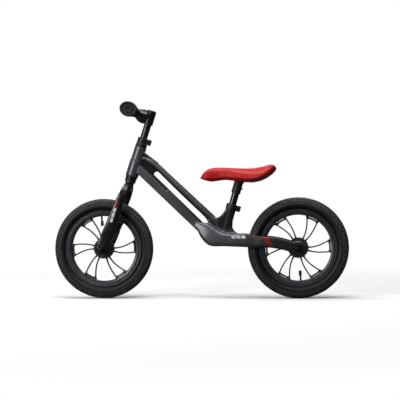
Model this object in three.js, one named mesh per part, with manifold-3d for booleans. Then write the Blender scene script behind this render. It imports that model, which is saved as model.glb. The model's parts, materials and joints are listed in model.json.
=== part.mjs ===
// A child's balance bike with 12 inch wheels: a cast frame with two slanting beams and twin chainstays,
// a fork in a headset, a height-adjustable handlebar and saddle, and two wheels with paired curved spokes.
// Millimetres. +X points forwards, +Y to the rider's left, +Z up.
// The origin is on the ground, midway between the two wheels' contact points.
import * as THREE from "three";
import { mergeVertices } from "three/addons/utils/BufferGeometryUtils.js";
import Module from "manifold-3d";

const wasm = await Module();
wasm.setup();

// Overall layout
const WHEEL_BASE = 594; // front axle to rear axle
const TYRE_RADIUS = 152.5; // outside of the tyre, and the height of both axles
const HEAD_ANGLE = 72; // steering axis above the horizontal, in degrees
const FORK_RAKE = 15; // front axle ahead of the steering axis
const SEAT_LEAN = 16.3; // seat post away from the vertical, in degrees
const SEAT_AHEAD = 84; // seat post's axis ahead of the rear tyre, at axle height

// Fits and roundness
const FIT = 0.3; // gap between pieces that touch
const WHEEL_SIDES = 24; // facets round a tyre or rim
const ROUND_SIDES = 16; // facets round a tube, shaft or bore
const SMALL_SIDES = 12; // facets round a small pin or its hole
const PAST = 1; // how far a cut runs past the face it opens

// Tyre, tube and rim
const TYRE_DEPTH = 35; // from the rim's edge to the tread
const TYRE_WIDTH = 44;
const TYRE_WALL = 4.5;
const TREAD_HALF = 9; // flat of the tread, each side of the middle
const TREAD_SHOULDER = 8.4; // from the tread down to the widest of the shoulder
const CHEEK_HEIGHT = 10.5; // from the rim's edge up to the tyre's widest line
const INNER_TUBE_DIAMETER = 25;
const INNER_TUBE_WALL = 1.6;
const RIM_WIDTH = 30;
const RIM_FLANGE = 2.8;
const RIM_WELL = 11.5; // depth of the channel that holds the tyre
const RIM_FLOOR = 7; // metal between the channel and the spokes

// Spokes
const SPOKE_PAIRS = 6;
const SPOKE_PHASE = 56; // middle of the first pair, in degrees above the forward direction
const SPOKE_THICKNESS = 3.4;
const SPOKE_DEPTH = 9;
const SPOKE_SPREAD = 10.5; // each spoke of a pair from the pair's middle, at the rim, in degrees
const SPOKE_SWEEPS = { lagging: 12.5, leading: 9.5 }; // turn between rim and hub, in degrees
const SPOKE_STEPS = 5;
const BRACKET_HEIGHT = 7; // web that joins a pair at the rim
const BRACKET_TAPER = 4; // how much narrower the web is at its inner edge, each side, in degrees

// Hub, bearings and axles
const HUB_DISC_DIAMETER = 62;
const HUB_DISC_WIDTH = 18;
const HUB_BARREL_DIAMETER = 34;
const HUB_BARREL_WIDTH = 60;
const BEARING_DIAMETER = 26;
const BEARING_WIDTH = 8;
const BEARING_LEDGE = 2.5; // ledge in the hub that each bearing seats against
const AXLE_DIAMETER = 10;
const AXLE_SLEEVE_WALL = 2.4;
const DROPOUT_GAP = 90; // between the inner faces of a pair of dropouts
const DROPOUT_THICKNESS = 7;
const DROPOUT_DIAMETER = 38;
const WASHER_DIAMETER = 21;
const WASHER_THICKNESS = 1.6;
const NUT_WIDTH = 15; // across the flats
const NUT_THICKNESS = 8;
const AXLE_END = 2.5; // thread past the nut

// Valve
const VALVE_DIAMETER = 5.5;
const VALVE_CAP_DIAMETER = 9;
const VALVE_CAP_LENGTH = 15;
const VALVE_CAP_ROOF = 3;
const VALVE_REACH = 30; // from the rim's inner face to the end of the cap

// Headset and steering column, measured along the steering axis
const CROWN_CLEARANCE = 42; // tyre to the underside of the fork crown
const CROWN_HEIGHT = 23.5;
const CROWN_RACE_HEIGHT = 8.5;
const LOWER_CUP_HEIGHT = 9;
const UPPER_CUP_HEIGHT = 6.5;
const CUP_SKIRT = 8;
const CUP_SKIRT_WALL = 1.2;
const CUP_FLOOR = 1.5;
const TOP_CAP_HEIGHT = 2.2;
const HEAD_TUBE_LENGTH = 96;
const HEAD_TUBE_WALL = 2.6;
const HEAD_TUBE_SLEEVE_WALL = 1.5; // how far the head tube's lower half stands proud of its upper half
const HEAD_TUBE_SLEEVE_LENGTH = 52;
const HEADSET_BALL_WIDTH = 2.6; // thickness of the headset's bearing rings, inside to outside
const STEERER_WALL = 2.2;
const STEERER_SET_BACK = 1.5; // end of the steerer below the top of its clamp

// Fork
const BLADE_GAP = 92; // between the insides of the blades
const BLADE_THICKNESS = 11;
const CROWN_SHOULDER = 55; // height over which the crown curves down into the blades

// Clamps of the steering column and of the seat post
const CLAMP_HEIGHT = 17.5;
const CLAMP_WALL = 2.6;
const CLAMP_LUG = 9.5; // how far the lugs reach out from the ring
const CLAMP_LUG_WIDTH = 18;
const CLAMP_SLIT = 2.4;
const CLAMP_BOLT_DIAMETER = 5;
const CLAMP_HEAD_DIAMETER = 8.5;
const CLAMP_HEAD_HEIGHT = 4.5;
const CLAMP_NUT_WIDTH = 8;
const CLAMP_KEY_WIDTH = 4; // hexagon socket in the bolt's head
const CLAMP_KEY_DEPTH = 2.5;

// Handlebar
const RISER_DIAMETER = 22.2;
const TUBE_WALL = 1.8;
const RISER_INSERTION = 84; // riser below the top of its clamp
const RISER_SHOWING = 43; // riser between its clamp and the stem head
const STEM_HEAD_DIAMETER = 28.5;
const STEM_HEAD_HEIGHT = 45;
const STEM_HEAD_ROOF = 5;
const STEM_REACH = 45; // bar ahead of the steering axis
const BAR_RISE = 24; // bar above the foot of the stem head
const STEM_ARM_DIAMETER = 24;
const STEM_SLEEVE_LENGTH = 36; // sleeve round the bar
const STEM_SLEEVE_WALL = 2.6;
const BAR_DIAMETER = 22.2;
const BAR_LENGTH = 284;
const SET_SCREW_DIAMETER = 5;
const GRIP_LENGTH = 100;
const GRIP_WALL = 3.6;
const GRIP_FLANGE_STANDOUT = 1.5;
const GRIP_FLANGE_THICKNESS = 4;
const GRIP_END_LENGTH = 8; // closed end of the grip, past the bar
const GRIP_END_SIZE = [54, 45]; // oval end, across and along the steering axis

// Saddle and seat post, measured along the seat post's axis from axle height
const SEAT_POST_DIAMETER = 22.2;
const SEAT_TUBE_WALL = 3.2;
const SEAT_TUBE_TOP = 138;
const SEAT_BORE_FLOOR = 28;
const SEAT_POST_INSERTION = 76;
const SADDLE_HEIGHT = 214; // where the post's axis meets the saddle's underside
const SADDLE_SOCKET_LENGTH = 40;
const SADDLE_SOCKET_WALL = 2.4;
const SADDLE_BASE_THICKNESS = 5;
const SADDLE_BASE_INSET = 7;
const SADDLE_SCREW_DIAMETER = 5;
const SADDLE_SCREW_STANDOUT = 3;

// Frame casting
const UPPER_BEAM_WIDTH = 29;
const LOWER_BEAM_WIDTH = 33;
const BEAM_CHAMFER = 4;
const GUSSET_WIDTH = 22;
const TYRE_SIDE_CLEARANCE = 6;
const TYRE_FRONT_CLEARANCE = 12;

// Worked out from the driving dimensions
const REAR_X = -WHEEL_BASE / 2;
const FRONT_X = WHEEL_BASE / 2;
const RIM_RADIUS = TYRE_RADIUS - TYRE_DEPTH;
const RIM_FLOOR_RADIUS = RIM_RADIUS - RIM_WELL;
const RIM_INNER_RADIUS = RIM_FLOOR_RADIUS - RIM_FLOOR;
const VALVE_ANGLE = SPOKE_PHASE + (7 * 180) / SPOKE_PAIRS;
const AXLE_BORE = AXLE_DIAMETER + 2 * FIT;
const DROPOUT_OUTER = DROPOUT_GAP / 2 + DROPOUT_THICKNESS;
const AXLE_HALF = DROPOUT_OUTER + WASHER_THICKNESS + NUT_THICKNESS + AXLE_END + 2 * FIT;
const HEAD_LEAN = 90 - HEAD_ANGLE;
const CROWN_BOTTOM = TYRE_RADIUS + CROWN_CLEARANCE;
const CROWN_TOP = CROWN_BOTTOM + CROWN_HEIGHT;
const HEAD_BOTTOM = CROWN_TOP + CROWN_RACE_HEIGHT + LOWER_CUP_HEIGHT + 2 * FIT;
const HEAD_TOP = HEAD_BOTTOM + HEAD_TUBE_LENGTH;
const UPPER_CUP_TOP = HEAD_TOP + FIT + UPPER_CUP_HEIGHT;
const STEM_CLAMP_BOTTOM = UPPER_CUP_TOP + TOP_CAP_HEIGHT + 2 * FIT;
const STEM_CLAMP_TOP = STEM_CLAMP_BOTTOM + CLAMP_HEIGHT;
const STEERER_BORE = RISER_DIAMETER + 2 * FIT;
const STEERER_DIAMETER = STEERER_BORE + 2 * STEERER_WALL;
const HEADSET_BORE = STEERER_DIAMETER + 2 * FIT;
const HEAD_TUBE_BORE = HEADSET_BORE + 2 * (CUP_SKIRT_WALL + FIT);
const HEAD_TUBE_DIAMETER = HEAD_TUBE_BORE + 2 * HEAD_TUBE_WALL;
const HEAD_TUBE_LOWER_DIAMETER = HEAD_TUBE_DIAMETER + 2 * HEAD_TUBE_SLEEVE_WALL;
const STEM_HEAD_BOTTOM = STEM_CLAMP_TOP + RISER_SHOWING;
const STEM_HEAD_TOP = STEM_HEAD_BOTTOM + STEM_HEAD_HEIGHT;
const BAR_HEIGHT = STEM_HEAD_BOTTOM + BAR_RISE;
const SEAT_TUBE_BORE = SEAT_POST_DIAMETER + 2 * FIT;
const SEAT_TUBE_DIAMETER = SEAT_TUBE_BORE + 2 * SEAT_TUBE_WALL;
const SADDLE_SOCKET_BORE = SEAT_POST_DIAMETER + 2 * FIT;
const SADDLE_SOCKET_DIAMETER = SADDLE_SOCKET_BORE + 2 * SADDLE_SOCKET_WALL;

// Finishes
const FINISHES = {
  graphite: { color: 0x2b2d31, roughness: 0.42, metalness: 0.35 },
  glossBlack: { color: 0x0d0d10, roughness: 0.16, metalness: 0.2 },
  castBlack: { color: 0x1b1b1e, roughness: 0.45, metalness: 0.2 },
  blackTube: { color: 0x141416, roughness: 0.38, metalness: 0.3 },
  blackPlastic: { color: 0x131315, roughness: 0.55, metalness: 0 },
  rubber: { color: 0x161617, roughness: 0.85, metalness: 0 },
  gripRubber: { color: 0x151515, roughness: 0.75, metalness: 0 },
  steel: { color: 0x8c8f94, roughness: 0.35, metalness: 0.9 },
  blackSteel: { color: 0x1c1c1f, roughness: 0.4, metalness: 0.6 },
  redCover: { color: 0xb3151a, roughness: 0.38, metalness: 0 },
};

// ---- Places ----

const radians = THREE.MathUtils.degToRad;

// A point [forwards, up] given along and ahead of an axis that leans backwards from a foot.
function onLeaningAxis([footX, footZ], lean, height, ahead) {
  const [sin, cos] = [Math.sin(radians(lean)), Math.cos(radians(lean))];
  return [footX - height * sin + ahead * cos, footZ + height * cos + ahead * sin];
}

// The steering axis starts at its point nearest to the front axle.
const STEERING_FOOT = onLeaningAxis([FRONT_X, TYRE_RADIUS], HEAD_LEAN, 0, -FORK_RAKE);
const SEAT_FOOT = [REAR_X + TYRE_RADIUS + SEAT_AHEAD, TYRE_RADIUS];

const atHead = (height, ahead) => onLeaningAxis(STEERING_FOOT, HEAD_LEAN, height, ahead);
const atSeat = (height, ahead) => onLeaningAxis(SEAT_FOOT, SEAT_LEAN, height, ahead);
const atRearAxle = (ahead, up) => [REAR_X + ahead, TYRE_RADIUS + up];
const atRearTyre = (ahead, up) => [REAR_X + TYRE_RADIUS + ahead, TYRE_RADIUS + up];
const SADDLE_FOOT = atSeat(SADDLE_HEIGHT, 0);

// Moves a geometry that stands on the vertical axis onto the leaning one.
function toAxis(geometry, [footX, footZ], lean) {
  return geometry.rotateY(-radians(lean)).translate(footX, 0, footZ);
}
const toHead = (geometry) => toAxis(geometry, STEERING_FOOT, HEAD_LEAN);
const toSeat = (geometry) => toAxis(geometry, SEAT_FOOT, SEAT_LEAN);

// ---- Solids ----

// A closed geometry as a solid that can be joined and cut.
function solid(geometry) {
  const bare = geometry.clone();
  bare.deleteAttribute("normal");
  bare.deleteAttribute("uv");
  const merged = mergeVertices(bare, 1e-4);
  const corners = merged.index.array;
  const triVerts = [];
  for (let i = 0; i < corners.length; i += 3) {
    const [a, b, c] = corners.slice(i, i + 3);
    if (a !== b && b !== c && c !== a) triVerts.push(a, b, c);
  }
  return new wasm.Manifold(
    new wasm.Mesh({
      numProp: 3,
      vertProperties: merged.attributes.position.array,
      triVerts: new Uint32Array(triVerts),
    }),
  );
}

const join = (...geometries) => geometries.map(solid).reduce((all, next) => all.add(next));
const cut = (body, ...geometries) => geometries.map(solid).reduce((all, next) => all.subtract(next), body);
const both = (one, other) => solid(one).intersect(solid(other));

function geometryOf(body) {
  const mesh = body.getMesh();
  const geometry = new THREE.BufferGeometry();
  geometry.setAttribute("position", new THREE.BufferAttribute(mesh.vertProperties, 3));
  geometry.setIndex(new THREE.BufferAttribute(mesh.triVerts, 1));
  geometry.computeVertexNormals();
  return geometry;
}

function part(name, body, finish) {
  const mesh = new THREE.Mesh(geometryOf(body), new THREE.MeshStandardMaterial(FINISHES[finish]));
  mesh.name = name;
  return mesh;
}

function group(parts, [x, z] = [0, 0], lean = 0) {
  const held = new THREE.Group();
  held.add(...parts);
  held.position.set(x, 0, z);
  held.rotation.y = -radians(lean);
  return held;
}

// ---- Shapes ----

// A bar along Y.
function crossBar(diameter, from, to, sides = ROUND_SIDES) {
  const bar = new THREE.CylinderGeometry(diameter / 2, diameter / 2, to - from, sides);
  return bar.translate(0, (from + to) / 2, 0);
}

// A bar along Z.
function upright(diameter, from, to, sides = ROUND_SIDES) {
  const bar = new THREE.CylinderGeometry(diameter / 2, diameter / 2, to - from, sides);
  return bar.rotateX(Math.PI / 2).translate(0, 0, (from + to) / 2);
}

// A bar along X.
function lengthBar(diameter, from, to, sides = ROUND_SIDES) {
  const bar = new THREE.CylinderGeometry(diameter / 2, diameter / 2, to - from, sides);
  return bar.rotateZ(-Math.PI / 2).translate((from + to) / 2, 0, 0);
}

// A hexagonal bar along Y, sized across its flats.
const hexBar = (width, from, to) => crossBar(width / Math.cos(Math.PI / 6), from, to, 6);

// A closed profile of [radius, height] points turned about Y.
function turned(profile, sides = ROUND_SIDES) {
  const points = profile.map(([radius, height]) => new THREE.Vector2(radius, height));
  if (THREE.ShapeUtils.area(points) < 0) points.reverse();
  if (points[0].x > 0 || points.at(-1).x > 0) points.push(points[0].clone());
  return new THREE.LatheGeometry(points, sides);
}

// A straight-walled ring about Y.
function ring(outer, inner, from, to, sides = ROUND_SIDES) {
  const [wide, narrow] = [outer / 2, inner / 2];
  return turned([[narrow, from], [wide, from], [wide, to], [narrow, to]], sides);
}

// The same ring about Z.
const collar = (outer, inner, from, to) => ring(outer, inner, -to, -from).rotateX(-Math.PI / 2);

// A profile turned about Z.
const turnedUpright = (profile) =>
  turned(profile.map(([radius, height]) => [radius, -height])).rotateX(-Math.PI / 2);

const shapeOf = (outline) => new THREE.Shape(outline.map(([u, v]) => new THREE.Vector2(u, v)));

// An outline of [forwards, up] points, as a plate of the given width about the middle plane.
function sidePlate(outline, width, chamfer = 0) {
  const plate = new THREE.ExtrudeGeometry(shapeOf(outline), {
    depth: width - 2 * chamfer,
    steps: 1,
    bevelEnabled: chamfer > 0,
    bevelThickness: chamfer,
    bevelSize: chamfer,
    bevelOffset: -chamfer,
    bevelSegments: 1,
  });
  return plate.rotateX(Math.PI / 2).translate(0, width / 2 - chamfer, 0);
}

// An outline of [forwards, sideways] points, as a plate between two heights.
function planPlate(outline, from, to) {
  const plate = new THREE.ExtrudeGeometry(shapeOf(outline), { depth: to - from, bevelEnabled: false });
  return plate.translate(0, 0, from);
}

// An outline of [sideways, up] points, as a plate between two places along X.
function facePlate(outline, from, to) {
  const plate = new THREE.ExtrudeGeometry(shapeOf(outline), { depth: to - from, bevelEnabled: false });
  const turn = new THREE.Matrix4().makeBasis(
    new THREE.Vector3(0, 1, 0),
    new THREE.Vector3(0, 0, 1),
    new THREE.Vector3(1, 0, 0),
  );
  return plate.applyMatrix4(turn).translate(from, 0, 0);
}

// Half an outline, closed by its mirror image.
// The sideways direction is the second of each pair, unless the first is asked for.
function mirrored(half, sideways = 1) {
  const flip = (point) => point.map((value, i) => (i === sideways ? -value : value));
  const other = half.filter((point) => point[sideways] !== 0).map(flip);
  return [...half, ...other.reverse()];
}

// Points on an arc, from one angle to another, in degrees above the first direction.
function arc([u, v], radius, from, to, steps) {
  return Array.from({ length: steps + 1 }, (_, i) => {
    const angle = radians(from + ((to - from) * i) / steps);
    return [u + radius * Math.cos(angle), v + radius * Math.sin(angle)];
  });
}

// ---- Wheels, each about Y with its centre at the origin ----

function tyre() {
  const bead = RIM_WIDTH / 2 - RIM_FLANGE - FIT;
  const foot = RIM_FLOOR_RADIUS + FIT;
  const half = TYRE_WIDTH / 2;
  const cheek = RIM_RADIUS + CHEEK_HEIGHT;
  const shoulder = TYRE_RADIUS - TREAD_SHOULDER;
  const side = [
    [foot, bead],
    [RIM_RADIUS + 2 * FIT, bead],
    [cheek, half],
    [shoulder, half - 2],
    [TYRE_RADIUS, TREAD_HALF],
  ];
  const inside = [
    [TYRE_RADIUS - TYRE_WALL, TREAD_HALF],
    [shoulder - TYRE_WALL + 1, half - TYRE_WALL - 1.5],
    [cheek, half - TYRE_WALL],
    [RIM_RADIUS + 2 * FIT, bead - TYRE_WALL],
    [foot, bead - TYRE_WALL],
  ];
  const mirror = (points) => points.map(([radius, y]) => [radius, -y]).reverse();
  return solid(turned([...side, ...mirror(side), ...mirror(inside), ...inside], WHEEL_SIDES));
}

const TUBE_RING_RADIUS = TYRE_RADIUS - TYRE_WALL - INNER_TUBE_DIAMETER / 2 - 2 * FIT;

// A tool that stands out from the wheel's centre in the valve's direction.
const toValve = (geometry) => geometry.rotateY(radians(90 - VALVE_ANGLE));
const valveBore = (from, to) => toValve(upright(VALVE_DIAMETER + 2 * FIT, from, to, SMALL_SIDES));

function innerTube() {
  const section = (diameter, sides) =>
    turned(arc([TUBE_RING_RADIUS, 0], diameter / 2, 0, 360 - 360 / sides, sides - 1), WHEEL_SIDES);
  const air = section(INNER_TUBE_DIAMETER - 2 * INNER_TUBE_WALL, 6);
  const valveHole = valveBore(RIM_FLOOR_RADIUS, TUBE_RING_RADIUS);
  return cut(join(section(INNER_TUBE_DIAMETER, 8)), air, valveHole);
}

// The outline of one curved spoke: it leaves the rim and turns by its sweep on the way to the hub.
function spokeOutline(atRim, sweep) {
  const outer = RIM_INNER_RADIUS + RIM_FLOOR / 2;
  const inner = HUB_DISC_DIAMETER / 2 - SPOKE_THICKNESS;
  const centre = Array.from({ length: SPOKE_STEPS + 1 }, (_, i) => {
    const share = i / SPOKE_STEPS;
    const angle = radians(atRim + sweep * Math.sin((share * Math.PI) / 2));
    const radius = outer + (inner - outer) * share;
    return new THREE.Vector2(radius * Math.cos(angle), radius * Math.sin(angle));
  });
  const sideOf = (sign) =>
    centre.map((point, i) => {
      const ahead = centre[Math.min(i + 1, SPOKE_STEPS)];
      const behind = centre[Math.max(i - 1, 0)];
      const across = ahead.clone().sub(behind).normalize().rotateAround(new THREE.Vector2(), Math.PI / 2);
      return point.clone().addScaledVector(across, (sign * SPOKE_THICKNESS) / 2).toArray();
    });
  return [...sideOf(1), ...sideOf(-1).reverse()];
}

// The web at the rim between the two spokes of a pair.
function spokeBracket(middle) {
  const [from, to] = [middle - SPOKE_SPREAD, middle + SPOKE_SPREAD];
  const outer = arc([0, 0], RIM_INNER_RADIUS + RIM_FLOOR / 2, from, to, 2);
  const inner = arc([0, 0], RIM_INNER_RADIUS - BRACKET_HEIGHT, to - BRACKET_TAPER, from + BRACKET_TAPER, 2);
  return sidePlate([...outer, ...inner], SPOKE_DEPTH);
}

function rimCasting() {
  const half = RIM_WIDTH / 2;
  const channel = half - RIM_FLANGE;
  const rim = turned(
    [
      [RIM_INNER_RADIUS, -half],
      [RIM_RADIUS, -half],
      [RIM_RADIUS, -channel],
      [RIM_FLOOR_RADIUS, -channel],
      [RIM_FLOOR_RADIUS, channel],
      [RIM_RADIUS, channel],
      [RIM_RADIUS, half],
      [RIM_INNER_RADIUS, half],
    ],
    WHEEL_SIDES,
  );
  const spokes = [];
  for (let pair = 0; pair < SPOKE_PAIRS; pair++) {
    const middle = SPOKE_PHASE + (pair * 360) / SPOKE_PAIRS;
    spokes.push(sidePlate(spokeOutline(middle - SPOKE_SPREAD, SPOKE_SWEEPS.lagging), SPOKE_DEPTH));
    spokes.push(sidePlate(spokeOutline(middle + SPOKE_SPREAD, SPOKE_SWEEPS.leading), SPOKE_DEPTH));
    spokes.push(spokeBracket(middle));
  }
  const barrel = crossBar(HUB_BARREL_DIAMETER, -HUB_BARREL_WIDTH / 2, HUB_BARREL_WIDTH / 2);
  const disc = crossBar(HUB_DISC_DIAMETER, -HUB_DISC_WIDTH / 2, HUB_DISC_WIDTH / 2);
  const seat = BEARING_DIAMETER + 2 * FIT;
  const shoulder = HUB_BARREL_WIDTH / 2 - BEARING_WIDTH - FIT;
  const end = HUB_BARREL_WIDTH / 2 + PAST;
  return cut(
    join(rim, ...spokes, disc, barrel),
    crossBar(BEARING_DIAMETER - 2 * BEARING_LEDGE, -shoulder - PAST, shoulder + PAST),
    crossBar(seat, shoulder, end),
    crossBar(seat, -end, -shoulder),
    valveBore(RIM_INNER_RADIUS - RIM_FLOOR, RIM_RADIUS),
  );
}

function wheel(side, [x, z], turn) {
  const bearingIn = HUB_BARREL_WIDTH / 2 - BEARING_WIDTH;
  const bearing = (from, to) => solid(ring(BEARING_DIAMETER, AXLE_BORE, from, to));
  const sleeve = ring(AXLE_BORE + 2 * AXLE_SLEEVE_WALL, AXLE_BORE, FIT - bearingIn, bearingIn - FIT);
  const capEnd = RIM_INNER_RADIUS - VALVE_REACH;
  const capBore = VALVE_DIAMETER + 2 * FIT;
  const capFloor = capEnd + VALVE_CAP_ROOF;
  const stemEnd = TUBE_RING_RADIUS - INNER_TUBE_DIAMETER / 4;
  const stem = upright(VALVE_DIAMETER, capFloor + FIT, stemEnd, SMALL_SIDES);
  const cap = turnedUpright([
    [0, capEnd],
    [VALVE_CAP_DIAMETER / 2, capEnd],
    [VALVE_CAP_DIAMETER / 2, capEnd + VALVE_CAP_LENGTH],
    [capBore / 2, capEnd + VALVE_CAP_LENGTH],
    [capBore / 2, capFloor],
    [0, capFloor],
  ]);
  const parts = [
    part(`${side}_tyre`, tyre(), "rubber"),
    part(`${side}_inner_tube`, innerTube(), "rubber"),
    part(`${side}_rim`, rimCasting(), "castBlack"),
    part(`${side}_hub_bearing_left`, bearing(bearingIn, HUB_BARREL_WIDTH / 2), "steel"),
    part(`${side}_hub_bearing_right`, bearing(-HUB_BARREL_WIDTH / 2, -bearingIn), "steel"),
    part(`${side}_hub_sleeve`, solid(sleeve), "steel"),
    part(`${side}_valve_stem`, solid(toValve(stem)), "steel"),
    part(`${side}_valve_cap`, solid(toValve(cap)), "blackPlastic"),
  ];
  return group(parts, [x, z], turn);
}

// The fixed pieces on one axle, which clamp it in its dropouts.
function axleSet(side, [x, z], lean = 0) {
  const inner = HUB_BARREL_WIDTH / 2 + FIT;
  const washer = [DROPOUT_OUTER + FIT, DROPOUT_OUTER + FIT + WASHER_THICKNESS];
  const nut = [washer[1] + FIT, washer[1] + FIT + NUT_THICKNESS];
  const parts = [part(`${side}_axle`, solid(crossBar(AXLE_DIAMETER, -AXLE_HALF, AXLE_HALF)), "steel")];
  for (const [hand, sign] of [["left", 1], ["right", -1]]) {
    const span = ([near, far]) => (sign > 0 ? [near, far] : [-far, -near]);
    const spacer = ring(AXLE_BORE + 2 * AXLE_SLEEVE_WALL, AXLE_BORE, ...span([inner, DROPOUT_GAP / 2 - FIT]));
    const bore = crossBar(AXLE_BORE, ...span([nut[0] - PAST, nut[1] + PAST]));
    const ringed = ring(WASHER_DIAMETER, AXLE_BORE, ...span(washer));
    parts.push(
      part(`${side}_axle_spacer_${hand}`, solid(spacer), "steel"),
      part(`${side}_axle_washer_${hand}`, solid(ringed), "steel"),
      part(`${side}_axle_nut_${hand}`, cut(join(hexBar(NUT_WIDTH, ...span(nut))), bore), "blackSteel"),
    );
  }
  return group(parts, [x, z], lean);
}

// ---- Clamps ----

// A split ring about Z with two lugs behind it, its bolt and its nut.
function clamp(name, tubeDiameter, from) {
  const to = from + CLAMP_HEIGHT;
  const bore = tubeDiameter + 2 * FIT;
  const outer = bore + 2 * CLAMP_WALL;
  const reach = outer / 2 + CLAMP_LUG;
  const boltAt = -(outer / 2 + CLAMP_LUG / 2);
  const middle = (from + to) / 2;
  const behind = (width, height) =>
    new THREE.BoxGeometry(reach, width, height).translate(-reach / 2, 0, middle);
  const lugs = behind(CLAMP_LUG_WIDTH, CLAMP_HEIGHT);
  const slit = behind(CLAMP_SLIT, CLAMP_HEIGHT + 2 * PAST).translate(-PAST, 0, 0);
  const atBolt = (geometry) => geometry.translate(boltAt, 0, middle);
  const side = CLAMP_LUG_WIDTH / 2;
  const headFrom = side + FIT;
  const headTo = headFrom + CLAMP_HEAD_HEIGHT;
  const nutTo = -headTo;
  const body = cut(
    join(upright(outer, from, to), lugs),
    upright(bore, from - PAST, to + PAST),
    slit,
    atBolt(crossBar(CLAMP_BOLT_DIAMETER + 2 * FIT, -side - PAST, side + PAST)),
  );
  const bolt = cut(
    join(
      atBolt(crossBar(CLAMP_BOLT_DIAMETER, nutTo, headFrom + PAST)),
      atBolt(crossBar(CLAMP_HEAD_DIAMETER, headFrom, headTo)),
    ),
    atBolt(hexBar(CLAMP_KEY_WIDTH, headTo - CLAMP_KEY_DEPTH, headTo + PAST)),
  );
  const nut = cut(
    join(atBolt(hexBar(CLAMP_NUT_WIDTH, nutTo, -headFrom))),
    atBolt(crossBar(CLAMP_BOLT_DIAMETER + 2 * FIT, nutTo - PAST, -side)),
  );
  return [
    part(`${name}_clamp`, body, "blackPlastic"),
    part(`${name}_clamp_bolt`, bolt, "blackSteel"),
    part(`${name}_clamp_nut`, nut, "blackSteel"),
  ];
}

// The saw cut behind a clamped tube's mouth, which lets the clamp squeeze it.
function clampCut(diameter, from, to) {
  const slot = new THREE.BoxGeometry(diameter, CLAMP_SLIT, to - from);
  return slot.translate(-diameter / 2, 0, (from + to) / 2);
}

// The hole through a pair of dropouts.
const axleHole = () => crossBar(AXLE_BORE, -DROPOUT_OUTER - PAST, DROPOUT_OUTER + PAST);

// ---- Frame ----

// Heights along the steering axis where the beams meet the head tube.
const BEAM_TOP_AT_HEAD = HEAD_TOP - 8;
const BEAM_BOTTOM_AT_HEAD = HEAD_BOTTOM + 16;
const BEAM_ROOT = -HEAD_TUBE_DIAMETER / 2 + 4;

// The slot between the beams: its two ends, lower edge and upper edge.
const SLOT = {
  frontLow: atHead(HEAD_BOTTOM + 26, -64),
  frontHigh: atHead(HEAD_BOTTOM + 39, -72),
  rearLow: atRearTyre(142.5, 84.5),
  rearHigh: atRearTyre(120.5, 84.5),
};

function upperBeam() {
  const outline = [
    atHead(BEAM_TOP_AT_HEAD, BEAM_ROOT),
    atRearTyre(93, 91.5),
    atSeat(88, 31.5),
    atSeat(102, 21),
    atSeat(SEAT_TUBE_TOP - CLAMP_HEIGHT - 3, SEAT_TUBE_DIAMETER / 2),
    atSeat(SEAT_TUBE_TOP - CLAMP_HEIGHT - 3, 1 - SEAT_TUBE_DIAMETER / 2),
    atSeat(68, -18),
    atSeat(59, -41),
    atRearTyre(16, 32),
    atRearTyre(104, 40),
    SLOT.rearHigh,
    SLOT.frontHigh,
    atHead(HEAD_BOTTOM + 44, BEAM_ROOT),
  ];
  return sidePlate(outline, UPPER_BEAM_WIDTH, BEAM_CHAMFER);
}

function lowerBeam() {
  const outline = [
    atHead(BEAM_BOTTOM_AT_HEAD, BEAM_ROOT),
    atHead(HEAD_BOTTOM + 50, BEAM_ROOT),
    SLOT.frontLow,
    SLOT.rearLow,
    atRearTyre(128, 60),
    atRearTyre(146, 47),
  ];
  return sidePlate(outline, LOWER_BEAM_WIDTH, BEAM_CHAMFER);
}

function gusset() {
  const outline = [
    atHead(BEAM_TOP_AT_HEAD - 12, BEAM_ROOT),
    atHead(HEAD_BOTTOM + 48, -78),
    SLOT.frontHigh,
    atHead(HEAD_BOTTOM + 31, -65),
    SLOT.frontLow,
    atHead(HEAD_BOTTOM + 18, -60),
    atHead(BEAM_BOTTOM_AT_HEAD + 4, BEAM_ROOT),
  ];
  return sidePlate(outline, GUSSET_WIDTH);
}

// The rear casting and both chainstays: a side outline and a plan outline that meet.
function rearCasting() {
  const boss = DROPOUT_DIAMETER / 2;
  const side = [
    atRearTyre(153, 54),
    atRearTyre(132.5, 23.5),
    atRearTyre(112.5, 7.5),
    atRearTyre(61, 5.5),
    atRearTyre(-3.5, 1.5),
    atRearAxle(79, 1.5),
    atRearAxle(26, -11.5),
    ...arc(atRearAxle(0, 0), boss, 290, 100, 8),
    atRearAxle(17, 22),
    atRearAxle(59, 33),
    atRearAxle(129, 38),
    atRearTyre(16.5, 44),
    atRearTyre(61.5, 44.5),
    atRearTyre(81.5, 51.5),
    atRearTyre(104.5, 65.5),
    atRearTyre(121.5, 75.5),
    atRearTyre(144, 81),
  ];
  const tyreSide = TYRE_WIDTH / 2 + TYRE_SIDE_CLEARANCE;
  const plan = mirrored([
    [atRearTyre(156, 0)[0], LOWER_BEAM_WIDTH / 2 + 1],
    [atRearTyre(132, 0)[0], LOWER_BEAM_WIDTH / 2 + 8],
    [atRearTyre(100, 0)[0], tyreSide + 3],
    [atRearTyre(40, 0)[0], tyreSide + 7],
    [atRearTyre(-4, 0)[0], tyreSide + 12],
    [atRearTyre(-50, 0)[0], DROPOUT_OUTER - 4],
    [atRearAxle(52, 0)[0], DROPOUT_OUTER],
    [atRearAxle(-boss - 2, 0)[0], DROPOUT_OUTER],
    [atRearAxle(-boss - 2, 0)[0], DROPOUT_GAP / 2],
    [atRearAxle(boss + 8, 0)[0], DROPOUT_GAP / 2],
    [atRearTyre(-46, 0)[0], tyreSide + 3],
    [atRearTyre(-4, 0)[0], tyreSide],
    [atRearTyre(TYRE_FRONT_CLEARANCE - 4, 0)[0], tyreSide * 0.6],
    [atRearTyre(TYRE_FRONT_CLEARANCE, 0)[0], 0],
  ]);
  const low = TYRE_RADIUS - DROPOUT_DIAMETER;
  return both(sidePlate(side, 3 * DROPOUT_GAP), planPlate(plan, low, low + TYRE_RADIUS));
}

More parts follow.
